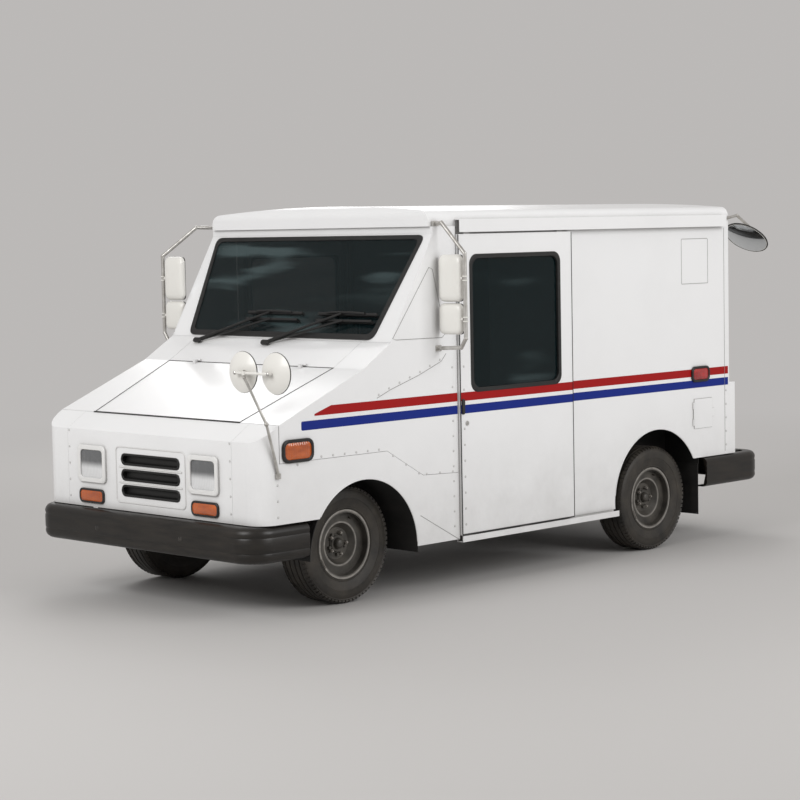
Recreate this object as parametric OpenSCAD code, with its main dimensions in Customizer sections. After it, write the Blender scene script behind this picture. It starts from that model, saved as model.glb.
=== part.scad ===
// Mail delivery truck: a small right-hand-drive van body with sliding cab doors, a rear
// roll-up door, a ladder frame, an independent front end and a leaf-sprung rear axle.
// The front is -Y, the truck's left side is +X and +Z is up. The origin is on the ground,
// midway between the two bumpers.

/* [Overall] */
// Length over the bumpers
length = 4458; // [4250:1:5400]
// Width over the door rails
width = 1905; // [1800:1:2300]
// Height to the crown of the roof
height = 2159; // [2000:1:2600]
// Distance between the axles
wheelbase = 2553; // [2450:1:2620]
// From the front of the bumper to the front axle
front_overhang = 810; // [790:1:830]

/* [Body shell] */
// Thickness of the body panels
sheet = 4; // [3:0.5:6]
// How far the cab side stands in from the door rails
cab_inset = 22.5; // [15:0.5:30]
// How far the cargo side stands in from the door rails
cargo_inset = 40.5; // [38:0.5:60]
// Radius of the roof's long edges
roof_r = 60; // [40:1:80]
// Rise of the roof from its edges to its crown
roof_crown = 34; // [10:1:50]
// From the crown down to the eaves, where the roof meets the sides
eave_drop = 124; // [115:1:140]
// From the rear of the bumper forward to the rear of the body
rear_step = 349; // [300:1:380]
// From the front of the bumper back to the nose panel
nose_setback = 77; // [70:1:120]
// Bottom edge of the nose and rear corners above the ground
skirt_z = 509; // [500:1:540]
// Radius of the nose's two upright corners
corner_r = 110; // [80:1:140]
// Half the width of the nose panel between its riveted seams
nose_half = 706; // [690:1:730]
// Gap between panels that meet
panel_gap = 4; // [2:0.5:8]

/* [Bonnet and windscreen] */
// Height of the nose panel's upper bend
nose_top_z = 940; // [900:1:980]
// Front edge of the bonnet behind the nose panel
bonnet_setback = 133; // [100:1:160]
// Height of the bonnet's front edge
bonnet_front_z = 1026; // [1000:1:1060]
// Length of the bonnet along the truck
bonnet_len = 615; // [560:1:660]
// Height of the bonnet's rear edge
bonnet_rear_z = 1280; // [1240:1:1320]
// Half the width of the bonnet at its front edge
bonnet_half_front = 620; // [560:1:640]
// Half the width of the bonnet at its rear edge
bonnet_half_rear = 700; // [660:1:720]
// Length of the cowl from the bonnet to the windscreen
cowl_len = 217; // [190:1:240]
// Height of the windscreen's lower edge
screen_low_z = 1412; // [1380:1:1440]
// How far the windscreen leans back from its lower to its upper edge
screen_lean = 335; // [280:1:380]
// Half the width of the glass at its lower edge
screen_half_low = 770; // [700:1:800]
// Half the width of the glass at its upper edge
screen_half_top = 868; // [800:1:880]
// Thickness of the window glass
glass_t = 5; // [4:0.5:8]

/* [Cab doors] */
// Length of each sliding door
door_len = 976; // [900:1:1050]
// From the front axle back to the door's front edge
door_from_axle = 751; // [740:1:790]
// Thickness of each door
door_t = 28; // [22:1:32]
// Height of the door's lower edge above the ground
door_low_z = 300; // [280:1:330]
// How far each door slides back
door_travel = 760; // [600:1:780]
// Height of the side window's lower edge
window_low_z = 1117; // [1050:1:1180]
// Width of the window's frame at the front and rear of the door
window_margin = 109; // [90:1:140]
// Depth of the frame above the window
window_top_margin = 130; // [100:1:160]

/* [Wheels] */
// Outer diameter of the tyres
tyre_d = 648; // [600:1:680]
// Width of the tyres
tyre_w = 195; // [175:1:205]
// Diameter of the rims at the bead seat
rim_d = 356; // [330:1:381]
// Distance between the centres of the front wheels
front_track = 1385; // [1360:1:1400]
// Distance between the centres of the rear wheels
rear_track = 1560; // [1540:1:1580]
// Radius of each wheel spindle
spindle_r = 30; // [25:1:35]
// Radius of the king pins
kingpin_r = 22; // [18:1:26]
// From the king pin to the wheel's centre
kingpin_offset = 92.5; // [88:0.5:100]
// Running clearance of shafts in their bores, on the radius
run_clear = 0.05; // [0.02:0.01:0.1]
// Bolt circle of the wheel nuts
wheel_pcd = 120.65; // [110:0.05:130]

/* [Wheel arches] */
// Radius of the front arches
front_arch_r = 400; // [390:1:410]
// Height of the centre of the front arches
front_arch_z = 290; // [280:1:330]
// Radius of the rear arches
rear_arch_r = 420; // [400:1:430]
// Height of the centre of the rear arches
rear_arch_z = 335; // [320:1:345]

/* [Chassis] */
// Height of the top of the frame rails
frame_top_z = 500; // [480:1:510]
// Depth of the frame rails
rail_h = 100; // [80:1:110]
// Width of the frame rails
rail_w = 60; // [50:1:70]
// Half the distance between the outer faces of the rails
rail_half = 390; // [370:1:400]
// Height of the cargo floor
cargo_floor_z = 600; // [580:1:640]
// From the front axle back to the wall behind the cab
wall_from_axle = 1719; // [1700:1:1760]

/* [Rear door] */
// Half the width of the rear opening
rear_half = 780; // [700:1:800]
// Height of the rear opening's lower edge
rear_low_z = 612; // [605:1:660]
// Depth of the header above the rear opening, down from the eaves
rear_header = 105; // [90:1:160]
// Radius of the barrel that the curtain winds on
barrel_r = 45; // [35:1:55]

/* [Steering wheel and seat] */
// How far the driver sits from the centre line, to the right
driver_x = 430; // [400:1:460]
// Radius of the steering wheel to the middle of its rim
steer_r = 200; // [170:1:210]
// Height of the seat pan
seat_pan_z = 763; // [740:1:780]
// Width of the seat
seat_w = 440; // [400:1:460]

/* [Mirrors] */
// How far the upright mirror tubes stand out from the cab sides
mirror_reach = 210; // [180:1:260]
// Radius of the mirror tubes
mirror_tube_r = 11; // [9:1:13]
// How much further forward than the left ones the right mirrors stand
right_arm_lead = 260; // [0:1:280]

/* [Hidden] */
$fn = 48;

// Lengthwise places, from the front backwards
front_y = -length / 2;
rear_y = length / 2;
axle_f = front_y + front_overhang;
axle_r = axle_f + wheelbase;
nose_y = front_y + nose_setback;
bonnet_front_y = nose_y + bonnet_setback;
bonnet_rear_y = bonnet_front_y + bonnet_len;
screen_low_y = bonnet_rear_y + cowl_len;
screen_top_y = screen_low_y + screen_lean;
brow_y = screen_top_y - 18;
door_front = axle_f + door_from_axle;
door_rear = door_front + door_len;
jamb_y = door_front - panel_gap;
wall_y = axle_f + wall_from_axle;
body_rear = rear_y - rear_step;
firewall_y = axle_f + 419;
firewall_t = 6;
track_end = axle_r - rear_arch_r;

// Widths
rail_x = width / 2;
cab_x = rail_x - cab_inset;
side_x = rail_x - cargo_inset;
door_out = rail_x - 7.5;
door_in = door_out - door_t;

// Heights
eave_z = height - eave_drop;
screen_top_z = eave_z - 39;
door_top_z = eave_z - 45;
window_top_z = door_top_z - window_top_margin;
wheel_z = tyre_d / 2;
rail_low_z = frame_top_z - rail_h;
seam_z = 825;
step_z = 320;
floor_t = 6;
rear_top_z = eave_z - rear_header;

// The windscreen's plane: along its slope and out from the glass
screen_len = norm([screen_lean, screen_top_z - screen_low_z]);
screen_tilt = atan2(screen_top_z - screen_low_z, screen_lean);

// The line of the steering column
column_tilt = 45;
steer_y = firewall_y + 400;
steer_z = 1130;

// ---- Shared shapes ----

// A block between two opposite corners
module block(a, b) {
    translate(a) cube(b - a);
}

// The same thing on both sides of the truck
module both_sides() {
    children();
    mirror([1, 0, 0]) children();
}

// An outline drawn in the side view, [y, z], run across from x0 to x1
module across(x0, x1) {
    translate([x0, 0, 0]) rotate([90, 0, 90]) linear_extrude(x1 - x0) children();
}

// An outline drawn in the front view, [x, z], run back from y0 to y1
module along(y0, y1) {
    translate([0, y1, 0]) rotate([90, 0, 0]) linear_extrude(y1 - y0) children();
}

// A round bar between two points, with a ball at its far end
module rod(a, b, r) {
    v = b - a;
    translate(a) rotate([0, acos(v.z / norm(v)), atan2(v.y, v.x)]) cylinder(r = r, h = norm(v));
}

module ball(p, r) {
    translate(p) sphere(r);
}

// Things drawn flat on the windscreen, [across, up its slope, out from the glass]
module on_screen() {
    translate([0, screen_low_y, screen_low_z]) rotate([screen_tilt, 0, 0]) children();
}

// A rectangular ring, drawn flat, that frames an opening
module frame_ring(w, h, bar) {
    difference() {
        square([w, h], center = true);
        square([w - 2 * bar, h - 2 * bar], center = true);
    }
}

// ---- Chassis ----

// A channel rail that is open towards the middle of the truck
module frame_rail(x_out, y0, y1) {
    wall = 5;
    difference() {
        block([x_out - rail_w, y0, rail_low_z], [x_out, y1, frame_top_z]);
        block([x_out - rail_w - 1, y0 - 1, rail_low_z + wall], [x_out - wall, y1 + 1, frame_top_z - wall]);
    }
}

frame_front_y = nose_y + 52;
frame_rear_y = body_rear + 120;
cross_w = 60;
cross_ys = [frame_front_y + 30, axle_f + 819, wall_y, axle_r - 234, axle_r + 366, frame_rear_y - 60];

module ladder_frame() {
    color("#2c2c2e") {
        both_sides() frame_rail(rail_half, frame_front_y, frame_rear_y);
        for (y = cross_ys) difference() {
            block([-rail_half + rail_w, y, rail_low_z + 10], [rail_half - rail_w, y + cross_w, frame_top_z - 10]);
            block([-rail_half + rail_w - 1, y + 5, rail_low_z + 9],
                  [rail_half - rail_w + 1, y + cross_w - 5, frame_top_z - 15]);
        }
    }
}

// The cab floor with a step well at each door, and the raised cargo floor on its bearers
well_x = 726;
sill_x = side_x - 8;
house_x = rear_track / 2 - 140;
house_half = rear_arch_r + 4;

module floor_pan() {
    color("#6f7072") {
        along(firewall_y + firewall_t, wall_y - 4) polygon([
            [-sill_x, step_z - floor_t], [-well_x, step_z - floor_t], [-well_x, frame_top_z],
            [well_x, frame_top_z], [well_x, step_z - floor_t], [sill_x, step_z - floor_t],
            [sill_x, step_z], [well_x + floor_t, step_z], [well_x + floor_t, frame_top_z + floor_t],
            [-well_x - floor_t, frame_top_z + floor_t], [-well_x - floor_t, step_z], [-sill_x, step_z]
        ]);
        difference() {
            block([-side_x + 12, wall_y + 6, cargo_floor_z - floor_t], [side_x - 12, body_rear - 24, cargo_floor_z]);
            both_sides() block([house_x, axle_r + 10 - house_half, cargo_floor_z - 20],
                               [side_x + 1, axle_r + 10 + house_half, cargo_floor_z + 1]);
        }
        for (y = [wall_y + 80, axle_r - 180, axle_r + 130, body_rear - 160])
            block([-rail_half - 120, y, frame_top_z], [rail_half + 120, y + 50, cargo_floor_z - floor_t]);
    }
}

// ---- Front of the body ----

// The nose's plan with its rounded corners, drawn in a distance "inset" from the outside
module nose_plan(inset) {
    x = cab_x - inset;
    y = nose_y + inset;
    translate([-x, nose_y + corner_r]) square([2 * x, screen_low_y - nose_y - corner_r]);
    translate([-cab_x + corner_r, y]) square([2 * (cab_x - corner_r), screen_low_y - y]);
    for (s = [-1, 1]) translate([s * (cab_x - corner_r), nose_y + corner_r]) circle(corner_r - inset);
}

// The nose's outline from the side, from the skirt up the bonnet and cowl to the windscreen
module nose_outline(inset, low) {
    polygon([
        [nose_y + inset, low], [nose_y + inset, nose_top_z - inset],
        [bonnet_front_y, bonnet_front_z - inset], [bonnet_rear_y, bonnet_rear_z - inset],
        [screen_low_y, screen_low_z - inset], [screen_low_y, low]
    ]);
}

module nose_solid(inset, low) {
    intersection() {
        translate([0, 0, low]) linear_extrude(height) nose_plan(inset);
        across(-rail_x, rail_x) nose_outline(inset, low);
    }
}

module nose_shell() {
    difference() {
        nose_solid(0, skirt_z);
        nose_solid(sheet, skirt_z - 1);
        block([-cab_x + sheet, screen_low_y - 1, skirt_z - 1], [cab_x - sheet, screen_low_y + 1, screen_low_z + 1]);
    }
}

// The plan of the bonnet, grown by "grow" on every side
module bonnet_plan(grow) {
    polygon([
        [-bonnet_half_front - grow, bonnet_front_y - grow], [bonnet_half_front + grow, bonnet_front_y - grow],
        [bonnet_half_rear + grow, bonnet_rear_y + grow], [-bonnet_half_rear - grow, bonnet_rear_y + grow]
    ]);
}

head_x = 480;
head_z = 751;
head_w = 250;
head_h = 209;
turn_x = 489;
turn_z = 571;
turn_w = 220;
turn_h = 80;
grille_x = 29;
slot_w = 490;
slot_h = 54;
slot_zs = [621, 708, 794];
lamp_bar = 22;

// The nose panel between its riveted seams, with the grille's three slots
module front_fascia() {
    color("white") difference() {
        intersection() {
            nose_shell();
            block([-nose_half + 1, nose_y - 1, skirt_z - 1], [nose_half - 1, bonnet_front_y - panel_gap / 2, height]);
        }
        for (z = slot_zs) translate([0, 0, z])
            block([grille_x - slot_w / 2, nose_y - 1, -slot_h / 2], [grille_x + slot_w / 2, nose_y + 30, slot_h / 2]);
        both_sides() {
            translate([head_x, nose_y, head_z]) cube([head_w - 50, 60, head_h - 68], center = true);
            translate([turn_x, nose_y, turn_z]) cube([turn_w - 50, 60, turn_h - 50], center = true);
        }
    }
}

// The outline of the side below its riveted seam, which steps down behind the wheel
seam_points = [
    [nose_y - 1, seam_z], [axle_f + 184, seam_z], [axle_f + 459, seam_z - 157],
    [jamb_y + 1, seam_z - 169]
];

module below_seam(low) {
    polygon(concat(seam_points, [[jamb_y + 1, low], [nose_y - 1, low]]));
}

module front_arch() {
    translate([axle_f + 10, front_arch_z]) circle(front_arch_r, $fn = 96);
}

fender_low_z = 280;

// The wheel-arch panels with the nose's rounded corners, one on each side
module lower_fenders() {
    color("white") difference() {
        union() {
            intersection() {
                nose_shell();
                union() {
                    across(-rail_x, rail_x) below_seam(skirt_z - 1);
                    both_sides() block([nose_half, nose_y - 1, seam_z - 5],
                                       [rail_x, bonnet_front_y - panel_gap / 2, height]);
                }
                both_sides() block([nose_half, nose_y - 1, skirt_z - 1], [rail_x, screen_low_y, height]);
            }
            both_sides() across(cab_x - sheet, cab_x) difference() {
                polygon(concat([for (p = seam_points) if (p.x > axle_f) p],
                    [[jamb_y + 1, fender_low_z], [axle_f - front_arch_r, fender_low_z], [axle_f - front_arch_r, seam_z]]));
                translate([jamb_y, 0]) square([10, seam_z]);
                translate([axle_f - front_arch_r - 1, 0]) square([front_arch_r, skirt_z]);
            }
        }
        across(-rail_x, rail_x) front_arch();
        // the amber side markers' lamp holes
        both_sides() block([cab_x - 20, marker_y - 80, marker_z - 30], [cab_x + 1, marker_y + 80, marker_z + 30]);
    }
}

marker_y = axle_f - 473;
marker_z = 885;
marker_w = 219;
marker_h = 122;

// The sides of the cab above the seam: fender tops, windscreen posts and door jambs
module cab_sides() {
    lift = panel_gap / 2;
    color("white") difference() {
        union() {
            intersection() {
                nose_shell();
                both_sides() block([bonnet_half_front, bonnet_front_y + lift, seam_z - 200], [rail_x, screen_low_y, height]);
            }
            both_sides() {
                across(cab_x - sheet, cab_x) polygon([
                    [screen_low_y - 1, seam_z - 200], [jamb_y, seam_z - 200], [jamb_y, eave_z],
                    [screen_top_y, eave_z], [screen_top_y, screen_top_z], [screen_low_y - 1, screen_low_z]
                ]);
                block([side_x - sheet, screen_top_y + 10, eave_z - sheet], [cab_x, jamb_y, eave_z]);
            }
        }
        across(-rail_x, rail_x) offset_seam(lift);
        translate([0, 0, bonnet_front_z - 100]) linear_extrude(height) bonnet_plan(panel_gap);
        block([-bonnet_half_rear - 2, bonnet_rear_y - 2, seam_z], [bonnet_half_rear + 2, screen_low_y + 1, screen_low_z + 10]);
        both_sides() block([cab_x - 20, marker_y - 80, marker_z - 30], [cab_x + 1, marker_y + 80, marker_z + 30]);
    }
}

// Everything below the seam, raised by the gap that the two panels keep
module offset_seam(lift) {
    polygon([for (p = concat(seam_points, [[jamb_y + 1, 0], [nose_y - 1, 0]])) [p.x, p.y == 0 ? 0 : p.y + lift]]);
}

// The fixed panel between the bonnet and the windscreen, with wiper bosses and bonnet hinges
hinge_x = 450;
hinge_y = bonnet_rear_y + 2;
hinge_z = bonnet_rear_z + 10;
hinge_len = 20;
wiper_xs = [-630, -30];
wiper_drop = 45;
wiper_shaft_r = 7;

module cowl_panel() {
    color("white") difference() {
        union() {
            intersection() {
                nose_shell();
                block([-bonnet_half_rear, bonnet_rear_y + 2, seam_z], [bonnet_half_rear, screen_low_y, screen_low_z]);
            }
            for (x = wiper_xs) on_screen() translate([x, -wiper_drop, 0]) cylinder(r = 14, h = 30);
            for (x = [-hinge_x, hinge_x], s = [-1, 1]) {
                translate([x + s * (hinge_len + 1), hinge_y, hinge_z]) rotate([0, 90, 0])
                    cylinder(r = 6, h = hinge_len, center = true);
                translate([x + s * (hinge_len + 1), hinge_y + 14, hinge_z - 4])
                    cube([hinge_len, 24, 8], center = true);
            }
        }
        for (x = wiper_xs) on_screen() translate([x, -wiper_drop, -12]) cylinder(r = wiper_shaft_r + run_clear, h = 51);
        translate([0, hinge_y, hinge_z]) rotate([0, 90, 0]) cylinder(r = 3 + run_clear, h = 1200, center = true);
    }
}

// The bonnet, hinged along its rear edge
module hood() {
    color("white") {
        intersection() {
            nose_shell();
            translate([0, 0, seam_z]) linear_extrude(height) polygon([
                [-bonnet_half_front, bonnet_front_y + 2], [bonnet_half_front, bonnet_front_y + 2],
                [bonnet_half_rear, bonnet_rear_y - 4], [-bonnet_half_rear, bonnet_rear_y - 4]
            ]);
        }
        for (x = [-hinge_x, hinge_x]) {
            translate([x, hinge_y, hinge_z]) rotate([0, 90, 0]) {
                cylinder(r = 6, h = hinge_len, center = true);
                cylinder(r = 3, h = 3 * hinge_len, center = true);
            }
            block([x - hinge_len / 2, hinge_y - 26, bonnet_rear_z - 14], [x + hinge_len / 2, hinge_y - 3, hinge_z]);
        }
    }
}

// The wall between the engine and the cab, with the shelf that closes the cowl
module firewall() {
    top = bonnet_rear_z + 10;
    color("#8d8f92") {
        block([-cab_x + 30, firewall_y, frame_top_z], [cab_x - 30, firewall_y + firewall_t, top]);
        both_sides() block([rail_half + 12, firewall_y, step_z], [cab_x - 30, firewall_y + firewall_t, frame_top_z + 1]);
        block([-cab_x + 30, screen_low_y - 100, top - floor_t], [cab_x - 30, firewall_y, top]);
    }
}

// The frame around the windscreen, from the cowl up to the roof's brow
module screen_outline(half_low, half_top, low, top) {
    polygon([[-half_low, low], [half_low, low], [half_top, top], [-half_top, top]]);
}

screen_glass_low = screen_low_z + 20;
screen_glass_top = screen_top_z - 18;

module windshield_surround() {
    color("white") difference() {
        across(-cab_x + sheet, cab_x - sheet) polygon([
            [screen_low_y, screen_low_z], [screen_top_y, screen_top_z], [screen_top_y, eave_z],
            [screen_top_y + 10, eave_z], [screen_top_y + 10, screen_top_z - 3], [screen_low_y + 10, screen_low_z - 3]
        ]);
        along(screen_low_y - 50, screen_top_y + 50)
            screen_outline(screen_half_low, screen_half_top, screen_glass_low, screen_glass_top);
    }
}

module windshield_glass() {
    color("#1f3233") intersection() {
        along(screen_low_y - 50, screen_top_y + 50)
            screen_outline(screen_half_low - 1, screen_half_top - 1, screen_glass_low + 1, screen_glass_top - 1);
        on_screen() translate([-cab_x, -10, -glass_t - 1]) cube([2 * cab_x, screen_len + 20, glass_t]);
    }
}

// ---- Sides, roof and rear ----

module rear_arch() {
    translate([axle_r + 10, rear_arch_z]) circle(rear_arch_r, $fn = 96);
}

side_front_y = door_rear - 36;
rear_skirt_z = skirt_z + 31;

// The flat cargo side with its rear arch, and the header over the door
module cargo_side() {
    difference() {
        across(side_x - sheet, side_x) polygon([
            [side_front_y, door_low_z], [axle_r, door_low_z], [axle_r, rear_skirt_z], [body_rear, rear_skirt_z],
            [body_rear, eave_z], [jamb_y, eave_z], [jamb_y, door_top_z + 2], [side_front_y, door_top_z + 2]
        ]);
        across(0, rail_x) rear_arch();
    }
}

fuel_y0 = axle_r + 384;
fuel_y1 = fuel_y0 + 184;
fuel_z0 = 728;
fuel_z1 = 914;
fuel_hinge = [side_x + 5, fuel_y0 - 6];
fuel_hinge_len = 40;
cup_y0 = max(fuel_y0 + 6, axle_r + 10 + house_half + 2);

// The left side also carries the filler's cup, its neck and the hinge of the flap
module cargo_side_left() {
    cup = 55;
    color("white") {
        difference() {
            union() {
                cargo_side();
                for (z = [fuel_z0 + 20, fuel_z1 - 20 - fuel_hinge_len]) {
                    translate([fuel_hinge.x, fuel_hinge.y, z]) cylinder(r = 5, h = fuel_hinge_len);
                    block([side_x, fuel_hinge.y - 12, z], [side_x + 5, fuel_hinge.y, z + fuel_hinge_len]);
                }
            }
            block([side_x - 10, cup_y0 + 4, fuel_z0 + 10], [side_x + 1, fuel_y1 - 10, fuel_z1 - 10]);
            translate([fuel_hinge.x, fuel_hinge.y, fuel_z0]) cylinder(r = 2.5 + run_clear, h = fuel_z1 - fuel_z0);
        }
        difference() {
            block([side_x - sheet - cup, cup_y0, fuel_z0 + 6], [side_x - sheet, fuel_y1 - 6, fuel_z1 - 6]);
            block([side_x - cup, cup_y0 + 4, fuel_z0 + 10], [side_x, fuel_y1 - 10, fuel_z1 - 10]);
        }
        translate([side_x - cup, (cup_y0 + fuel_y1) / 2, (fuel_z0 + fuel_z1) / 2]) rotate([0, 90, 0])
            cylinder(r = 32, h = cup - 20);
    }
}

module cargo_side_right() {
    color("white") mirror([1, 0, 0]) cargo_side();
}

// The fuel flap with its hinge pin and thumb tab
module fuel_door() {
    mid = (fuel_z0 + fuel_z1) / 2;
    pin_half = (fuel_z1 - fuel_z0) / 2 - 20;
    color("white") {
        block([side_x + 1, fuel_y0, fuel_z0], [side_x + 4, fuel_y1, fuel_z1]);
        block([side_x + 1, fuel_y1 - 1, mid - 25], [side_x + 4, fuel_y1 + 25, mid + 25]);
        translate([fuel_hinge.x, fuel_hinge.y, mid]) {
            cylinder(r = 5, h = 2 * pin_half - 2 * fuel_hinge_len - 2, center = true);
            cylinder(r = 2.5, h = 2 * pin_half, center = true);
        }
        block([side_x + 1, fuel_hinge.y + 1, mid - pin_half + fuel_hinge_len + 1],
              [side_x + 4, fuel_y0 + 1, mid + pin_half - fuel_hinge_len - 1]);
    }
}

// The roof's cross-section: a shallow crown between two rounded edges
module roof_section(inset) {
    half = side_x - roof_r;
    crown_r = (half * half + roof_crown * roof_crown) / (2 * roof_crown);
    edge_z = height - roof_crown - roof_r;
    low = eave_z - (inset > 0 ? 1 : 0);
    translate([-side_x + inset, low]) square([2 * (side_x - inset), edge_z - low]);
    for (s = [-1, 1]) translate([s * half, edge_z]) circle(roof_r - inset);
    intersection() {
        translate([0, height - crown_r]) circle(crown_r - inset, $fn = 720);
        translate([-half, low]) square([2 * half, height - low]);
    }
}

// The roof seen from the side, with its rounded brow
module roof_side(inset) {
    brow_r = 70;
    y = brow_y + inset;
    low = eave_z - (inset > 0 ? 1 : 0);
    top = height - inset;
    translate([brow_y + brow_r, low]) square([body_rear - brow_y - brow_r + inset, top - low]);
    translate([y, low]) square([brow_r, height - brow_r - low]);
    translate([brow_y + brow_r, height - brow_r]) circle(brow_r - inset);
}

module roof_panel() {
    color("white") difference() {
        intersection() {
            along(brow_y, body_rear) roof_section(0);
            across(-rail_x, rail_x) roof_side(0);
            block([-rail_x, brow_y, eave_z], [rail_x, body_rear, height]);
        }
        intersection() {
            along(brow_y, body_rear + 1) roof_section(sheet);
            across(-rail_x, rail_x) roof_side(sheet);
        }
    }
}

post_z = 1000;
post_depth = 70;
rear_plate_t = 10;
track_y0 = body_rear - 34;
barrel_y = body_rear - 100;
barrel_z = eave_z - 5;
barrel_pin_r = 12;
barrel_half = rear_half - 10;

// The frame around the rear door: face plate, corner posts, sill, curtain tracks, barrel brackets
module rear_frame() {
    color("white") difference() {
        union() {
            difference() {
                union() {
                    intersection() {
                        along(body_rear, body_rear + rear_plate_t) roof_section(0);
                        block([-rail_x, body_rear, eave_z], [rail_x, rear_y, height]);
                    }
                    block([-side_x, body_rear, rear_skirt_z], [side_x, body_rear + rear_plate_t, eave_z + 1]);
                }
                block([-rear_half, body_rear - 1, rear_low_z], [rear_half, body_rear + rear_plate_t + 1, rear_top_z]);
            }
            both_sides() {
                difference() {
                    block([rear_half + 15, body_rear + rear_plate_t, rear_skirt_z],
                          [side_x, body_rear + post_depth, post_z]);
                    block([rear_half + 15 + sheet, body_rear + rear_plate_t - 1, rear_skirt_z - 1],
                          [side_x - sheet, body_rear + post_depth - sheet, post_z - sheet]);
                }
                difference() {
                    block([rear_half, track_y0, rear_low_z - 8], [rear_half + 34, body_rear, rear_top_z + 60]);
                    block([rear_half - 1, track_y0 + 8, rear_low_z - 9], [rear_half + 26, body_rear - 8, rear_top_z + 61]);
                }
                block([barrel_half + 6, barrel_y - 40, barrel_z - 40], [barrel_half + 12, body_rear, barrel_z + 40]);
            }
        }
        translate([0, barrel_y, barrel_z]) rotate([0, 90, 0])
            cylinder(r = barrel_pin_r + run_clear, h = 2 * rear_half + 100, center = true);
    }
}

curtain_y = body_rear - 22;
curtain_t = 8;
bar_h = 56;
curtain_top_z = rear_top_z + 55;
curtain_half = rear_half + 20;

// The slatted curtain, a stack of interlocking slats in the two tracks
module rear_curtain() {
    slats = floor((curtain_top_z - rear_low_z - bar_h) / 42);
    pitch = (curtain_top_z - rear_low_z - bar_h - 2) / slats;
    color("#e9eaec") for (i = [0:slats - 1])
        translate([0, 0, rear_low_z + bar_h + 2 + i * pitch]) {
            block([-curtain_half, curtain_y, 0], [curtain_half, curtain_y + curtain_t, pitch - 3]);
            block([-curtain_half, curtain_y + 2, pitch - 3.5], [curtain_half, curtain_y + curtain_t - 2, pitch]);
        }
}

// The bottom bar of the rear door with its grab handle and latch
module rear_door_bar() {
    color("#c9cbce") {
        block([-curtain_half, curtain_y - 2, rear_low_z], [curtain_half, curtain_y + curtain_t + 2, rear_low_z + bar_h]);
        for (x = [-70, 60]) block([x, curtain_y + curtain_t, rear_low_z + 15], [x + 10, body_rear + 42, rear_low_z + 30]);
        block([-70, body_rear + 32, rear_low_z + 15], [70, body_rear + 42, rear_low_z + 30]);
        block([-20, curtain_y + curtain_t, rear_low_z + 34], [20, body_rear + 20, rear_low_z + 50]);
    }
}

module rear_barrel() {
    color("#9b9da0") translate([0, barrel_y, barrel_z]) rotate([0, 90, 0]) {
        cylinder(r = barrel_r, h = 2 * barrel_half, center = true);
        cylinder(r = barrel_pin_r, h = 2 * barrel_half + 28, center = true);
    }
}

// The wall behind the cab with its walk-through doorway
doorway_half = 290;
doorway_top = eave_z - 125;

module partition_wall() {
    color("#dcdedf") difference() {
        along(wall_y - 3, wall_y + 3) union() {
            translate([-side_x + 12, frame_top_z + 8]) square([2 * (side_x - 12), eave_z - frame_top_z - 8]);
            translate([-side_x + roof_r, eave_z - 1]) square([2 * (side_x - roof_r), eave_drop - roof_crown - sheet - 1]);
        }
        block([-doorway_half, wall_y - 10, cargo_floor_z + 10], [doorway_half, wall_y + 10, doorway_top]);
    }
}

// Upper rails over the doors and the lower tracks at the sills
rail_top_z = eave_z + 38;
lower_rail_z = door_low_z - 38;
rail_end = body_rear - 59;

module door_rails() {
    lip = 4;
    color("white") both_sides() {
        block([side_x, jamb_y + 16, rail_top_z - lip], [rail_x, rail_end, rail_top_z]);
        block([side_x, jamb_y + 16, door_top_z + 14], [side_x + 3, rail_end, rail_top_z]);
        block([rail_x - lip, jamb_y + 16, door_top_z + 10], [rail_x, rail_end, rail_top_z]);
        block([side_x, jamb_y + 16, door_top_z + 26], [side_x + 13, rail_end, door_top_z + 30]);
        block([sill_x, door_front, lower_rail_z], [rail_x, track_end, lower_rail_z + lip]);
        block([sill_x, door_front, lower_rail_z], [sill_x + lip, track_end, step_z]);
        block([rail_x - lip, door_front, lower_rail_z], [rail_x, track_end, door_low_z - 4]);
    }
}

// ---- Cab doors ----

window_y0 = door_front + window_margin;
window_y1 = door_rear - window_margin - 13;
roller_r = 18;
roller_ys = [door_front + 90, door_rear - 90];

module door_shell() {
    edge = 40;
    guide_x = (door_in + door_out) / 2;
    hang_x = side_x + 15;
    difference() {
        block([door_in, door_front, door_low_z], [door_out, door_rear, door_top_z]);
        block([door_in - 1, window_y0, window_low_z], [door_out + 1, window_y1, window_top_z]);
        // the pressed-in panel below the window and the hollow between the frames
        block([door_in - 1, door_front + edge, door_low_z + edge], [door_out - sheet, door_rear - edge, window_low_z - edge]);
        block([door_in - 1, door_front + edge, window_low_z - edge - 1],
              [door_out - sheet, window_y0 - edge / 2, door_top_z - edge]);
        block([door_in - 1, window_y1 + edge / 2, window_low_z - edge - 1],
              [door_out - sheet, door_rear - edge, door_top_z - edge]);
    }
    // hangers with rollers in the upper rail, and guides in the lower track
    for (y = roller_ys) {
        block([hang_x, y - 25, door_top_z - 10], [hang_x + 4, y + 25, door_top_z + 58]);
        translate([side_x + 4, y, door_top_z + 30.3 + roller_r]) rotate([0, 90, 0]) cylinder(r = roller_r, h = 8);
        translate([side_x + 11, y, door_top_z + 30.3 + roller_r]) rotate([0, 90, 0]) cylinder(r = 5, h = 5);
    }
    for (y = [door_front + 20, door_front + 500])
        block([guide_x - 6, y, lower_rail_z + 8], [guide_x + 6, y + 80, door_low_z + 1]);
    // the latch handle inside and the grab handle outside, at the front edge
    block([door_in - 3, door_front + 12, 960], [door_in + 1, door_front + 32, 1080]);
    block([door_out - 1, door_front + 14, 985], [door_out + 6, door_front + 32, 1065]);
}

module door_left() {
    color("white") door_shell();
}

module door_right() {
    color("white") mirror([1, 0, 0]) door_shell();
}

module door_glass() {
    mid = (door_in + door_out) / 2;
    block([mid - glass_t / 2, window_y0 + 1, window_low_z + 1], [mid + glass_t / 2, window_y1 - 1, window_top_z - 1]);
}

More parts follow.
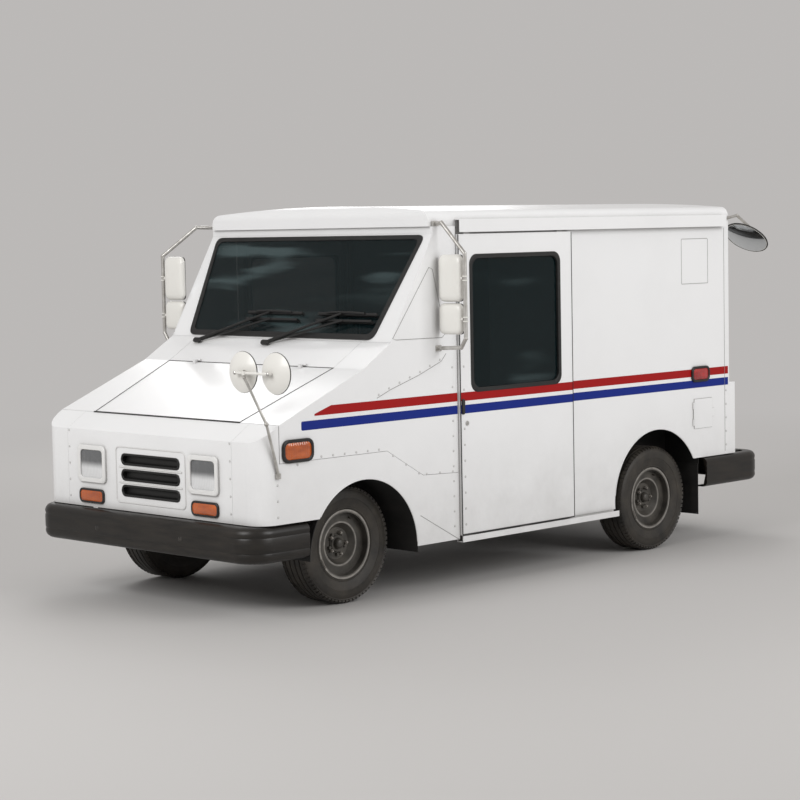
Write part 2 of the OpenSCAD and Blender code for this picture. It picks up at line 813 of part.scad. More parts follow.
module door_glass_left() {
    color("#22393a") door_glass();
}

module door_glass_right() {
    color("#22393a") mirror([1, 0, 0]) door_glass();
}

// ---- Wheel arches, bumpers and lamps ----

flap_t = 4;

// Front arch liners with their flaps, and the boxed rear wheelhouses with mud flaps
module wheelhouses() {
    liner = front_arch_r + 2;
    in_x = house_x;
    house_z = rear_arch_z + rear_arch_r + 20;
    house = house_half;
    color("#1c1c1d") both_sides() {
        across(front_track / 2 - 130, cab_x - sheet - 2) difference() {
            translate([axle_f + 10, front_arch_z]) circle(liner + flap_t, $fn = 96);
            translate([axle_f + 10, front_arch_z]) circle(liner, $fn = 96);
            translate([axle_f - liner, -liner]) square([2 * liner + 40, front_arch_z + liner]);
        }
        block([front_track / 2 - 130, axle_f + 10 + liner, front_arch_z - 45],
              [cab_x - sheet - 2, axle_f + 10 + liner + flap_t, front_arch_z + 1]);
        difference() {
            block([in_x, axle_r + 10 - house, frame_top_z + 2], [side_x - sheet - 1, axle_r + 10 + house, house_z]);
            block([in_x + flap_t, axle_r + 10 - house + flap_t, frame_top_z],
                  [side_x, axle_r + 10 + house - flap_t, house_z - flap_t]);
        }
        block([in_x, axle_r + house - 2, 180], [side_x - sheet - 1, axle_r + house + 4, frame_top_z + 2]);
    }
}

bumper_t = 6;
bumper_corner = 150;
front_bumper_z = [312, 505];
rear_bumper_z = [350, 535];
bumper_x = rail_x - 12.5;

// The plan of a bumper that wraps round two corners, "inset" in from its face
module bumper_plan(depth, inset) {
    x = bumper_x - inset;
    r = bumper_corner - inset;
    translate([-x, bumper_corner]) square([2 * x, depth - bumper_corner + (inset > 0 ? 1 : 0)]);
    translate([-bumper_x + bumper_corner, inset]) square([2 * (bumper_x - bumper_corner), depth - inset]);
    for (s = [-1, 1]) translate([s * (bumper_x - bumper_corner), bumper_corner]) circle(r);
}

// A channel bumper: an upright face with a flange along its top and bottom
module bumper(depth, z) {
    flange = 45;
    difference() {
        translate([0, 0, z[0]]) linear_extrude(z[1] - z[0]) bumper_plan(depth, 0);
        translate([0, 0, z[0] + bumper_t]) linear_extrude(z[1] - z[0] - 2 * bumper_t) bumper_plan(depth, bumper_t);
        translate([0, 0, z[0] - 1]) linear_extrude(z[1] - z[0] + 2) bumper_plan(depth + 1, flange);
    }
}

front_wrap = axle_f - 406 - front_y;
rear_wrap = rear_y - axle_r - 477;

module front_bumper() {
    color("#222120") {
        translate([0, front_y, 0]) bumper(front_wrap, front_bumper_z);
        both_sides() block([rail_half - rail_w, front_y + bumper_t - 1, rail_low_z + 4],
                           [rail_half - 5, frame_front_y, frame_top_z - 4]);
    }
}

plate_w = 177.8;
plate_h = 120.65;
plate_hole_r = 3.5;

module rear_bumper() {
    mid_z = (rear_bumper_z[0] + rear_bumper_z[1]) / 2;
    color("#222120") difference() {
        union() {
            translate([0, rear_y, 0]) mirror([0, 1, 0]) bumper(rear_wrap, rear_bumper_z);
            block([-bumper_x + 44, body_rear + post_depth + 6, rear_bumper_z[1] - 4],
                  [bumper_x - 44, rear_y - 44, rear_bumper_z[1]]);
            both_sides() block([rail_half - rail_w, frame_rear_y, rail_low_z + 4],
                               [rail_half - 5, rear_y - bumper_t + 1, frame_top_z - 4]);
        }
        for (x = [-1, 1], z = [-1, 1]) translate([x * plate_w / 2, rear_y, mid_z + z * plate_h / 2])
            rotate([90, 0, 0]) cylinder(r = plate_hole_r, h = 60, center = true);
    }
}

bezel_t = 14;
rear_marker_y = axle_r + 448;
rear_marker_z = 1072;
rear_marker_w = 183;
rear_marker_h = 99;
tail_x = rear_half + 72;
tail_z = 860;
tail_w = 84;
tail_h = 190;

// Puts flat lamp shapes on the nose, the cab sides, the cargo sides and the rear posts
module on_nose(x, z) {
    translate([x, nose_y, z]) rotate([90, 0, 0]) children();
}

module on_side(x, y, z) {
    translate([x, y, z]) rotate([90, 0, 90]) children();
}

module on_rear(x, z) {
    translate([x, body_rear + post_depth, z]) rotate([90, 0, 180]) children();
}

module lamp_bezels() {
    color("#17181a") both_sides() {
        on_nose(head_x, head_z) linear_extrude(bezel_t) frame_ring(head_w, head_h, lamp_bar);
        on_nose(turn_x, turn_z) linear_extrude(bezel_t) frame_ring(turn_w, turn_h, 12);
        on_side(cab_x, marker_y, marker_z) linear_extrude(bezel_t) frame_ring(marker_w, marker_h, 18);
        on_side(side_x, rear_marker_y, rear_marker_z) linear_extrude(bezel_t)
            frame_ring(rear_marker_w, rear_marker_h, 14);
        on_rear(tail_x, tail_z) linear_extrude(bezel_t) frame_ring(tail_w, tail_h, 8);
    }
}

module lamp_lenses() {
    play = 1;
    color("#d06a1c") both_sides() {
        on_nose(head_x, head_z) lens(head_w, head_h, lamp_bar + play);
        on_nose(turn_x, turn_z) lens(turn_w, turn_h, 12 + play);
        on_side(cab_x, marker_y, marker_z) lens(marker_w, marker_h, 18 + play);
        on_side(side_x, rear_marker_y, rear_marker_z) lens(rear_marker_w, rear_marker_h, 14 + play);
        on_rear(tail_x, tail_z) lens(tail_w, tail_h, 8 + play);
    }
}

module lens(w, h, bar) {
    translate([0, 0, bezel_t / 2]) cube([w - 2 * bar, h - 2 * bar, bezel_t - 1], center = true);
}

// ---- Inside the cab ----

module dashboard() {
    back = firewall_y + firewall_t;
    face = back + 200;
    color("#3a3d40") across(-cab_x + 60, cab_x - 60) polygon([
        [back, 1000], [face - 60, 960], [face, 1010], [face, 1180], [face - 70, 1265], [back, 1280]
    ]);
}

module steering_line() {
    translate([-driver_x, steer_y, steer_z]) rotate([column_tilt - 90, 0, 0]) children();
}

steer_shaft_r = 10;

module steering_column() {
    color("#2b2d2f") {
        difference() {
            steering_line() translate([0, 0, -520]) cylinder(r = 28, h = 460);
            steering_line() translate([0, 0, -130]) cylinder(r = steer_shaft_r + run_clear, h = 100);
        }
        block([-driver_x - 35, firewall_y + firewall_t, steer_z - 415], [-driver_x + 35, firewall_y + 55, steer_z - 330]);
        // the brackets that the two pedals hang from
        for (x = pedal_xs) difference() {
            block([x - 22, firewall_y + firewall_t, pedal_z - 14], [x + 22, firewall_y + 44, pedal_z + 14]);
            block([x - 8, firewall_y + firewall_t + 2, pedal_z - 15], [x + 8, firewall_y + 45, pedal_z + 15]);
            translate([x, pedal_y, pedal_z]) rotate([0, 90, 0]) cylinder(r = 6 + run_clear, h = 60, center = true);
        }
    }
}

module steering_wheel() {
    color("#1d1e20") steering_line() {
        rotate_extrude($fn = 96) translate([steer_r, 0]) circle(13, $fn = 24);
        for (a = [30, 150, 270]) rotate([0, 0, a]) translate([20, -12, -8]) cube([steer_r - 26, 24, 8]);
        translate([0, 0, -30]) cylinder(r = 38, h = 34);
        translate([0, 0, -120]) cylinder(r = steer_shaft_r, h = 95);
    }
}

pedal_xs = [-driver_x - 190, -driver_x - 75];
pedal_y = firewall_y + 30;
pedal_z = 830;

// A hanging pedal with its pad and its pivot pin
module pedal(x) {
    color("#26282a") {
        across(x - 5, x + 5) polygon([
            [pedal_y - 8, pedal_z + 8], [pedal_y + 8, pedal_z + 8], [pedal_y + 66, pedal_z - 200], [pedal_y + 54, pedal_z - 204]
        ]);
        across(x - 34, x + 34) polygon([
            [pedal_y + 48, pedal_z - 230], [pedal_y + 60, pedal_z - 233], [pedal_y + 84, pedal_z - 150], [pedal_y + 72, pedal_z - 147]
        ]);
        translate([x, pedal_y, pedal_z]) rotate([0, 90, 0]) cylinder(r = 6, h = 48, center = true);
    }
}

module accelerator_pedal() {
    pedal(pedal_xs[0]);
}

module brake_pedal() {
    pedal(pedal_xs[1]);
}

selector_x = -110;
selector_y = firewall_y + 290;
selector_z = 740;

module gear_selector() {
    color("#1b1c1e") {
        translate([selector_x, selector_y, selector_z]) rotate([0, 90, 0]) cylinder(r = 8, h = 60, center = true);
        translate([selector_x, selector_y, selector_z - 8]) cylinder(r = 7, h = 150);
        ball([selector_x, selector_y, selector_z + 160], 22);
    }
}

module mail_tray() {
    wall = 8;
    x0 = 60;
    x1 = 820;
    y0 = firewall_y + 250;
    y1 = firewall_y + 930;
    z = 860;
    color("#b9bcbf") {
        difference() {
            block([x0, y0, z], [x1, y1, z + 90]);
            block([x0 + wall, y0 + wall, z + wall], [x1 - wall, y1 - wall, z + 91]);
        }
        for (x = [x0 + 20, well_x - 50], y = [y0 + 20, y1 - 50])
            block([x, y, frame_top_z + floor_t], [x + 30, y + 30, z]);
        // the console that holds the gear selector
        difference() {
            block([selector_x - 38, selector_y - 60, frame_top_z + floor_t], [selector_x + 38, selector_y + 60, selector_z + 10]);
            block([selector_x - 26, selector_y - 54, frame_top_z + 40], [selector_x + 26, selector_y + 54, selector_z + 11]);
            translate([selector_x, selector_y, selector_z]) rotate([0, 90, 0]) cylinder(r = 8 + run_clear, h = 90, center = true);
        }
    }
}

seat_y0 = wall_y - 720;
seat_y1 = seat_y0 + 480;
slide_clear = 0.5;

module seat_pedestal() {
    x0 = -driver_x - seat_w / 2 + 20;
    x1 = -driver_x + seat_w / 2 - 20;
    top = seat_pan_z - 28;
    color("#2b2d2f") {
        difference() {
            block([x0, seat_y0 + 40, frame_top_z + floor_t], [x1, seat_y1 - 20, top]);
            block([x0 + 5, seat_y0 + 45, frame_top_z], [x1 - 5, seat_y1 - 25, top - 5]);
        }
        for (x = [x0 + 20, x1 - 40]) block([x, seat_y0, top], [x + 20, seat_y1 + 20, top + 14]);
    }
}

seat_x0 = -driver_x - seat_w / 2;
seat_x1 = -driver_x + seat_w / 2;

// The sliding frame of the seat: runners, pan and back plate
module seat_frame() {
    x0 = seat_x0;
    x1 = seat_x1;
    rail_top = seat_pan_z - 14;
    color("#3b3f45") {
        for (x = [x0 + 40, x1 - 60]) block([x, seat_y0 + 100, rail_top + slide_clear], [x + 20, seat_y1 - 100, seat_pan_z]);
        block([x0 + 10, seat_y0 + 10, seat_pan_z - 1], [x1 - 10, seat_y1 + 112, seat_pan_z + 12]);
        block([x0 + 20, seat_y1 + 100, seat_pan_z + 11], [x1 - 20, seat_y1 + 112, seat_pan_z + 640]);
    }
}

// The seat cushion and the back cushion
module seat_cushions() {
    color("#4a4f57") {
        block([seat_x0, seat_y0, seat_pan_z + 12], [seat_x1, seat_y1, seat_pan_z + 117]);
        block([seat_x0 + 10, seat_y1 + 2, seat_pan_z + 60], [seat_x1 - 10, seat_y1 + 100, seat_pan_z + 700]);
    }
}

// ---- Mirrors and wipers ----

arm_y = screen_top_y + 32;
mirror_x = cab_x + mirror_reach;
arm_top_z = eave_z + 15;
arm_bend_z = eave_z - 150;
arm_low_z = screen_low_z + 8;
large_head = [arm_bend_z - 265, arm_bend_z - 5];
small_head = [arm_bend_z - 445, arm_bend_z - 273];
post_foot = [cab_x + 11, nose_y + 117, 764];
post_bend = [cab_x + 14, nose_y + 37, 1040];
post_top = [cab_x - 80, nose_y - 23, 1280];
post_pin_r = 6;
rear_arm_x = side_x + 18;
rear_disc_r = 145;
rear_disc_mid = [rear_arm_x, body_rear + 186, eave_z - 107];
rear_tilt = 39;

// The bent tube of one side's mirrors, its upright "lead" forward of its roof foot
module side_arm(lead) {
    r = mirror_tube_r;
    y = arm_y - lead;
    a = [side_x + 14, arm_y, arm_top_z];
    b = [cab_x + 40, arm_y - lead / 2, arm_top_z + 5];
    c = [mirror_x, y, arm_bend_z];
    d = [mirror_x, y, arm_low_z];
    e = [mirror_x - 35, y, arm_low_z - 50];
    f = [cab_x + 2, y, arm_low_z - 58];
    rod(a, b, r);
    ball(b, r + 1);
    rod(b, c, r);
    ball(c, r + 1);
    rod(c, d, r);
    ball(d, r + 1);
    rod(d, e, r);
    ball(e, r + 1);
    rod(e, f, r);
    block([side_x, arm_y - 22, arm_top_z - 14], [side_x + 16, arm_y + 22, arm_top_z + 14]);
    block([cab_x, y - 22, arm_low_z - 74], [cab_x + 4, y + 22, arm_low_z - 42]);
}

// The tubes that carry the door mirrors, the post at the nose and the arm at the rear corner
module mirror_arms() {
    back = [0, sin(rear_tilt), cos(rear_tilt)];
    hook = rear_disc_mid + 52 * back;
    color("#b8b6ae") {
        side_arm(0);
        mirror([1, 0, 0]) side_arm(right_arm_lead);
        rod(post_foot, post_bend, 7);
        ball(post_bend, 12);
        rod(post_bend, post_top, 7);
        ball(post_top, 9);
        translate(post_top) cylinder(r = post_pin_r, h = 40);
        block([cab_x, post_foot.y - 14, post_foot.z - 14], [cab_x + 12, post_foot.y + 14, post_foot.z + 14]);
        block([side_x, body_rear - 44, eave_z], [side_x + 5, body_rear - 6, eave_z + 28]);
        rod([rear_arm_x - 8, body_rear - 25, eave_z + 15], [rear_arm_x, body_rear + 81, eave_z + 33], 9);
        ball([rear_arm_x, body_rear + 81, eave_z + 33], 10);
        rod([rear_arm_x, body_rear + 81, eave_z + 33], hook + [0, -6, 26], 9);
        difference() {
            translate(hook) rotate([0, 90, 0]) cylinder(r = 16, h = 24, center = true);
            translate(hook) rotate([0, 90, 0]) cylinder(r = 5 + run_clear, h = 30, center = true);
        }
    }
}

// A rectangular mirror head clamped round the upright tube
module mirror_head(z) {
    mid = (z[0] + z[1]) / 2;
    difference() {
        union() {
            block([cab_x + 14, arm_y - 18, z[0]], [mirror_x - 22, arm_y + 12, z[1]]);
            block([mirror_x - 30, arm_y - 6, mid - 12], [mirror_x - 12, arm_y + 6, mid + 12]);
            translate([mirror_x, arm_y, mid]) cylinder(r = mirror_tube_r + 7, h = 30, center = true);
        }
        translate([mirror_x, arm_y, mid]) cylinder(r = mirror_tube_r + run_clear, h = 40, center = true);
    }
}

module mirror_head_left() {
    color("#ece9e0") {
        mirror_head(large_head);
        mirror_head(small_head);
    }
}

module mirror_head_right() {
    color("#ece9e0") mirror([1, 0, 0]) translate([0, -right_arm_lead, 0]) {
        mirror_head(large_head);
        mirror_head(small_head);
    }
}

// A round convex mirror: a flat rim with a domed back, facing along +Z
module round_mirror(r, dome) {
    sphere_r = (r * r + dome * dome) / (2 * dome);
    intersection() {
        translate([0, 0, sphere_r - dome]) sphere(sphere_r, $fn = 96);
        translate([0, 0, -dome]) cylinder(r = r, h = dome);
    }
    cylinder(r = r, h = 8);
}

// The two round mirrors on their crossbar, which turns on the post's pin
cross_disc_r = 107;
cross_offsets = [-70, 185];

module cross_view_mirrors() {
    z = post_top.z + 24;
    color("#ece9e0") difference() {
        union() {
            translate([post_top.x, post_top.y, z - 10]) cylinder(r = 14, h = 20);
            translate([post_top.x, post_top.y, z]) rod([cross_offsets[0], 0, 0], [cross_offsets[1], 0, 0], 7);
            for (dx = cross_offsets) translate([post_top.x + dx, post_top.y, z]) {
                rod([0, 0, 0], [0, 30, 0], 7);
                translate([0, 52, 0]) rotate([-90, 0, 0]) round_mirror(cross_disc_r, 28);
            }
        }
        translate([post_top.x, post_top.y, z - 20]) cylinder(r = post_pin_r + run_clear, h = 40);
    }
}

// The round mirror over the rear left corner, on a cross pin in the end of its arm
module rear_view_mirror() {
    hook = [0, 0, 52];
    color("#ece9e0") translate(rear_disc_mid) rotate([-rear_tilt, 0, 0]) {
        rotate([180, 0, 0]) round_mirror(rear_disc_r, 30);
        for (x = [-20, 14]) block([x, -10, 24], [x + 6, 10, hook.z + 6]);
        translate(hook) rotate([0, 90, 0]) cylinder(r = 5, h = 40, center = true);
    }
}

wiper_reach = [560, 155];
blade_len = 440;

// A wiper at rest: shaft, arm and blade, laid flat over the glass
module wiper(x) {
    color("#111213") on_screen() translate([x, -wiper_drop, 0]) {
        cylinder(r = wiper_shaft_r, h = 40);
        translate([0, 0, 34]) cylinder(r = 13, h = 8);
        rotate([0, 0, atan2(wiper_reach.y, wiper_reach.x)]) translate([0, -6, 33]) cube([norm(wiper_reach), 12, 7]);
        translate([wiper_reach.x - blade_len / 2, wiper_reach.y - 7, 8]) cube([blade_len, 13, 28]);
    }
}

module wiper_right() {
    wiper(wiper_xs[0]);
}

module wiper_left() {
    wiper(wiper_xs[1]);
}

// ---- Engine and running gear ----

shaft_z = 340;

// The engine with its gearbox and the shaft to the rear axle
module engine() {
    color("#5b5d60") {
        block([-130, axle_f - 200, 470], [130, axle_f + 240, 760]);
        block([-70, axle_f - 180, 759], [70, axle_f + 220, 830]);
        block([-105, axle_f - 190, 430], [105, axle_f + 20, 471]);
        translate([0, axle_f - 240, 560]) rotate([-90, 0, 0]) cylinder(r = 80, h = 41);
        translate([0, axle_f - 230, 690]) rotate([-90, 0, 0]) cylinder(r = 60, h = 31);
        translate([0, axle_f + 239, 395]) rotate([-90, 0, 0]) cylinder(r = 95, h = 420);
        block([-80, axle_f + 200, 380], [80, axle_f + 242, 480]);
        translate([0, axle_f + 650, shaft_z]) rotate([-90, 0, 0]) cylinder(r = 30, h = axle_r - axle_f - 650 - 175);
    }
}

rear_spindle_x = rear_track / 2 + 18;
front_spindle_x = front_track / 2 + 18;
hub_half = 20;

// The rear axle with its differential and brake backing plates, on its two leaf springs
module rear_axle() {
    color("#3a3b3d") translate([0, axle_r, wheel_z]) {
        rotate([0, 90, 0]) cylinder(r = 40, h = rear_track - 70, center = true);
        rotate([0, 90, 0]) cylinder(r = spindle_r, h = 2 * rear_spindle_x, center = true);
        rotate([0, 90, 0]) cylinder(r = 112, h = 120, center = true);
        translate([0, -174, shaft_z - wheel_z]) rotate([-90, 0, 0]) cylinder(r = 48, h = 170);
        both_sides() translate([rear_track / 2 - 40, 0, 0]) rotate([0, 90, 0]) cylinder(r = 120, h = 6);
    }
    leaf_springs();
}

spring_x = [480, 540];

// A leaf pack on each side, with its seat on the axle tube and brackets on the frame rail
module leaf_springs() {
    sweep_r = 2500;
    half = 600;
    seat_z = wheel_z + 40;
    end_z = seat_z + 76;
    color("#303133") both_sides() {
        across(spring_x[0], spring_x[1]) intersection() {
            difference() {
                translate([axle_r, seat_z + 8 + sweep_r]) circle(sweep_r, $fn = 360);
                translate([axle_r, seat_z + 8 + sweep_r]) circle(sweep_r - 26, $fn = 360);
            }
            translate([axle_r - half, seat_z]) square([2 * half, 200]);
        }
        block([spring_x[0] + 5, axle_r - 45, seat_z], [spring_x[1] - 5, axle_r + 45, seat_z + 18]);
        for (s = [-1, 1]) block([rail_half, axle_r + s * (half - 20) - 20, end_z],
                                [spring_x[1], axle_r + s * (half - 20) + 20, frame_top_z - 5]);
    }
}

kingpin_x = front_track / 2 - kingpin_offset;
arm_low = [wheel_z - 88, wheel_z - 64];
arm_high = [wheel_z + 72, wheel_z + 92];
rack_y = axle_f + 130;
rack_z = wheel_z - 24;
rack_r = 15;

// The front crossmember, two control arms on each side and the steering rack's housing
module front_suspension() {
    color("#333436") difference() {
        union() {
            block([-rail_half - 12, axle_f - 50, rail_low_z - 60], [rail_half + 12, axle_f + 50, rail_low_z]);
            both_sides() {
                for (z = [arm_low, arm_high]) {
                    block([rail_half + 1, axle_f - 40, z[0]], [kingpin_x, axle_f + 40, z[1]]);
                    translate([kingpin_x, axle_f, z[0]]) cylinder(r = 40, h = z[1] - z[0]);
                }
                block([rail_half + 1, axle_f - 40, arm_low[0]], [rail_half + 12, axle_f + 40, arm_high[1]]);
                block([190, axle_f + 40, rack_z - 20], [220, rack_y, rail_low_z - 30]);
            }
            translate([0, rack_y, rack_z]) rotate([0, 90, 0]) cylinder(r = 28, h = 500, center = true);
        }
        both_sides() translate([kingpin_x, axle_f, 0]) cylinder(r = kingpin_r + run_clear, h = frame_top_z);
        translate([0, rack_y, rack_z]) rotate([0, 90, 0]) cylinder(r = rack_r + run_clear, h = 520, center = true);
    }
}

module steering_rack() {
    color("#77797c") translate([0, rack_y, rack_z]) rotate([0, 90, 0])
        cylinder(r = rack_r, h = 2 * (kingpin_x - 75), center = true);
}

// The knuckle: its king pin, its spindle and the arm that steers it
module knuckle() {
    translate([kingpin_x, axle_f, arm_low[0] - 8]) cylinder(r = kingpin_r, h = arm_high[1] - arm_low[0] + 16);
    block([kingpin_x - 25, axle_f - 35, arm_low[1] + 2], [kingpin_x + 40, axle_f + 35, arm_high[0] - 2]);
    translate([kingpin_x, axle_f, wheel_z]) rotate([0, 90, 0]) cylinder(r = spindle_r, h = front_spindle_x - kingpin_x);
    block([kingpin_x - 25, axle_f + 30, rack_z - 10], [kingpin_x, rack_y + 12, rack_z + 10]);
}

module knuckle_left() {
    color("#4a4c4f") knuckle();
}

module knuckle_right() {
    color("#4a4c4f") mirror([1, 0, 0]) knuckle();
}

// ---- Wheels ----

// A tyre's half section, [radius, distance from the middle]
module tyre_half() {
    r = tyre_d / 2;
    half = tyre_w / 2;
    shoulder = 35;
    wall = 10;
    bead = rim_d / 2;
    translate([bead, 60]) square([47, 16]);
    translate([bead + 27, 66]) square([20, half - 66]);
    translate([bead + 27, half - wall]) square([r - shoulder - bead - 27, wall]);
    intersection() {
        difference() {
            translate([r - shoulder, half - shoulder]) circle(shoulder);
            translate([r - shoulder, half - shoulder]) circle(shoulder - wall);
        }
        translate([r - shoulder, half - shoulder]) square(shoulder);
    }
    translate([r - wall - 2, 0]) square([wall + 2, half - shoulder]);
}

module tyre() {
    rotate([0, 90, 0]) rotate_extrude($fn = 120) {
        tyre_half();
        mirror([0, 1]) tyre_half();
    }
}

// A pressed steel wheel with its hub, nuts and centre
module rim() {
    bead = rim_d / 2;
    wall = 6;
    rotate([0, 90, 0]) {
        rotate_extrude($fn = 96) {
            translate([bead - wall, -76]) square([wall, 152]);
            for (s = [-1, 1]) translate([bead - wall, s > 0 ? 76 : -82]) square([wall + 12, 6]);
            polygon([
                [spindle_r + run_clear, 8], [92, 8], [118, 40], [bead - wall + 1, 40],
                [bead - wall + 1, 46], [114, 46], [88, 14], [spindle_r + run_clear, 14]
            ]);
            translate([spindle_r + run_clear, -hub_half]) square([22, 2 * hub_half]);
        }
        for (i = [0:4]) rotate([0, 0, i * 72]) translate([wheel_pcd / 2, 0, 13]) cylinder(r = 10, h = 16, $fn = 6);
    }
}

module wheel_place(s, track, y) {
    if (s > 0) translate([track / 2, y, wheel_z]) children();
    else mirror([1, 0, 0]) translate([track / 2, y, wheel_z]) children();
}

module tyre_front_left() { color("#26241f") wheel_place(1, front_track, axle_f) tyre(); }
module tyre_front_right() { color("#26241f") wheel_place(-1, front_track, axle_f) tyre(); }
module tyre_rear_left() { color("#26241f") wheel_place(1, rear_track, axle_r) tyre(); }
module tyre_rear_right() { color("#26241f") wheel_place(-1, rear_track, axle_r) tyre(); }
module rim_front_left() { color("#5a564d") wheel_place(1, front_track, axle_f) rim(); }
module rim_front_right() { color("#5a564d") wheel_place(-1, front_track, axle_f) rim(); }
module rim_rear_left() { color("#5a564d") wheel_place(1, rear_track, axle_r) rim(); }
module rim_rear_right() { color("#5a564d") wheel_place(-1, rear_track, axle_r) rim(); }

ladder_frame();
floor_pan();
firewall();
cowl_panel();
front_fascia();
lower_fenders();
cab_sides();
windshield_surround();
windshield_glass();
cargo_side_left();
cargo_side_right();
roof_panel();
rear_frame();
partition_wall();
door_rails();
wheelhouses();
front_bumper();
rear_bumper();
lamp_bezels();
lamp_lenses();
dashboard();
steering_column();
mail_tray();
seat_pedestal();
mirror_arms();
engine();
front_suspension();
rear_axle();
hood();
door_left();
door_right();
door_glass_left();
door_glass_right();
rear_curtain();
rear_door_bar();
rear_barrel();
steering_wheel();
steering_rack();
knuckle_left();
knuckle_right();
rim_front_left();
rim_front_right();
rim_rear_left();
rim_rear_right();
tyre_front_left();
tyre_front_right();
tyre_rear_left();
tyre_rear_right();
wiper_left();
wiper_right();
mirror_head_left();
mirror_head_right();
cross_view_mirrors();
rear_view_mirror();
fuel_door();
seat_frame();
seat_cushions();
accelerator_pedal();
brake_pedal();
gear_selector();
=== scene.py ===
import math
import bmesh
import bpy
from mathutils import Matrix, Vector


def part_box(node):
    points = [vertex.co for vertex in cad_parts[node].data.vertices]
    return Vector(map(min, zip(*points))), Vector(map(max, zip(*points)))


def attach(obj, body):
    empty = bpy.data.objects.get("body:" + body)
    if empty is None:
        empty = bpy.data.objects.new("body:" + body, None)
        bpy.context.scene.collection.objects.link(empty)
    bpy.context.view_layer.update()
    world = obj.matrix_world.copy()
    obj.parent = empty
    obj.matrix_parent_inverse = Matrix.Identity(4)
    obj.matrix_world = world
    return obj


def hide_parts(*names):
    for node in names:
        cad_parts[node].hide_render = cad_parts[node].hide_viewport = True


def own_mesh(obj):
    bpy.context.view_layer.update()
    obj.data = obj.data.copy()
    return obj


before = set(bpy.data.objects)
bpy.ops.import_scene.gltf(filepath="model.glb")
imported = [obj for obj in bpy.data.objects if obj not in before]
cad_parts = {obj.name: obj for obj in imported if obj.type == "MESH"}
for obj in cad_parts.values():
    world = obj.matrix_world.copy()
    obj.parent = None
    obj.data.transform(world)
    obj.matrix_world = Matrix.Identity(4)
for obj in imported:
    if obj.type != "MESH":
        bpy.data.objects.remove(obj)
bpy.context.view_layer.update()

# ---- The studio ----
# A plain pale floor and backdrop under large soft lamps, and a long lens at
# head height off the truck's front left corner. None of it is part of the truck.
studio = bpy.context.scene
studio.view_settings.view_transform = "Standard"
stand_at, swing, dip, lean = Vector((9.280, -9.499, 2.037)), 44.93, 4.55, -1.10
swing, dip, lean = (math.radians(a) for a in (swing, dip, lean))
lens_back = Vector((math.sin(swing) * math.cos(dip), -math.cos(swing) * math.cos(dip), math.sin(dip)))
lens_right = Vector((math.cos(swing), math.sin(swing), 0))
lens_up = lens_back.cross(lens_right)
rolled_right = lens_right * math.cos(lean) + lens_up * math.sin(lean)
rolled_up = lens_up * math.cos(lean) - lens_right * math.sin(lean)
camera = bpy.data.objects.new("camera", bpy.data.cameras.new("camera"))
camera.data.lens = 98.0
camera.data.clip_end = 200
camera.matrix_world = Matrix.Translation(stand_at) @ Matrix(
    (rolled_right, rolled_up, lens_back)).transposed().to_4x4()
studio.collection.objects.link(camera)
studio.camera = camera


def soft_lamp(name, place, aim, size, power):
    lamp = bpy.data.objects.new(name, bpy.data.lights.new(name, "AREA"))
    lamp.data.size, lamp.data.energy = size, power
    lamp.location = place
    lamp.rotation_euler = (Vector(aim) - Vector(place)).to_track_quat("-Z", "Y").to_euler()
    studio.collection.objects.link(lamp)


soft_lamp("front_lamp", (0.5, -9.5, 6.0), (0, -0.8, 0.9), 5.0, 470)
soft_lamp("side_lamp", (9.5, 1.5, 5.5), (0, 0.3, 0.9), 6.0, 500)
soft_lamp("far_lamp", (-7.0, 5.0, 6.5), (0, 0.5, 1.2), 6.0, 300)
backdrop = (0.50, 0.485, 0.475)
studio.world = bpy.data.worlds.new("pale_room")
studio.world.use_nodes = True
studio.world.node_tree.nodes["Background"].inputs["Color"].default_value = (*backdrop, 1)
studio.world.node_tree.nodes["Background"].inputs["Strength"].default_value = 1.0

floor_mesh = bpy.data.meshes.new("floor")
floor_mesh.from_pydata([(-60, -60, 0), (60, -60, 0), (60, 60, 0), (-60, 60, 0)], [], [(0, 1, 2, 3)])
floor = bpy.data.objects.new("floor", floor_mesh)
studio.collection.objects.link(floor)
floor_paint = bpy.data.materials.new("floor_paint")
floor_paint.use_nodes = True
floor_surface = floor_paint.node_tree.nodes["Principled BSDF"]
floor_surface.inputs["Base Color"].default_value = (0.50, 0.49, 0.48, 1)
floor_surface.inputs["Roughness"].default_value = 0.75
far_glow = floor_paint.node_tree.nodes.new("ShaderNodeEmission")
far_glow.inputs["Color"].default_value = (*backdrop, 1)
distance = floor_paint.node_tree.nodes.new("ShaderNodeVectorMath")
distance.operation = "LENGTH"
here = floor_paint.node_tree.nodes.new("ShaderNodeTexCoord")
fall = floor_paint.node_tree.nodes.new("ShaderNodeMapRange")
fall.interpolation_type = "SMOOTHSTEP"
fall.inputs["From Min"].default_value, fall.inputs["From Max"].default_value = 3.5, 11.0
both = floor_paint.node_tree.nodes.new("ShaderNodeMixShader")
joined = floor_paint.node_tree.links.new
joined(here.outputs["Object"], distance.inputs[0])
joined(distance.outputs["Value"], fall.inputs["Value"])
joined(fall.outputs[0], both.inputs[0])
joined(floor_surface.outputs[0], both.inputs[1])
joined(far_glow.outputs[0], both.inputs[2])
joined(both.outputs[0], floor_paint.node_tree.nodes["Material Output"].inputs["Surface"])
floor_mesh.materials.append(floor_paint)


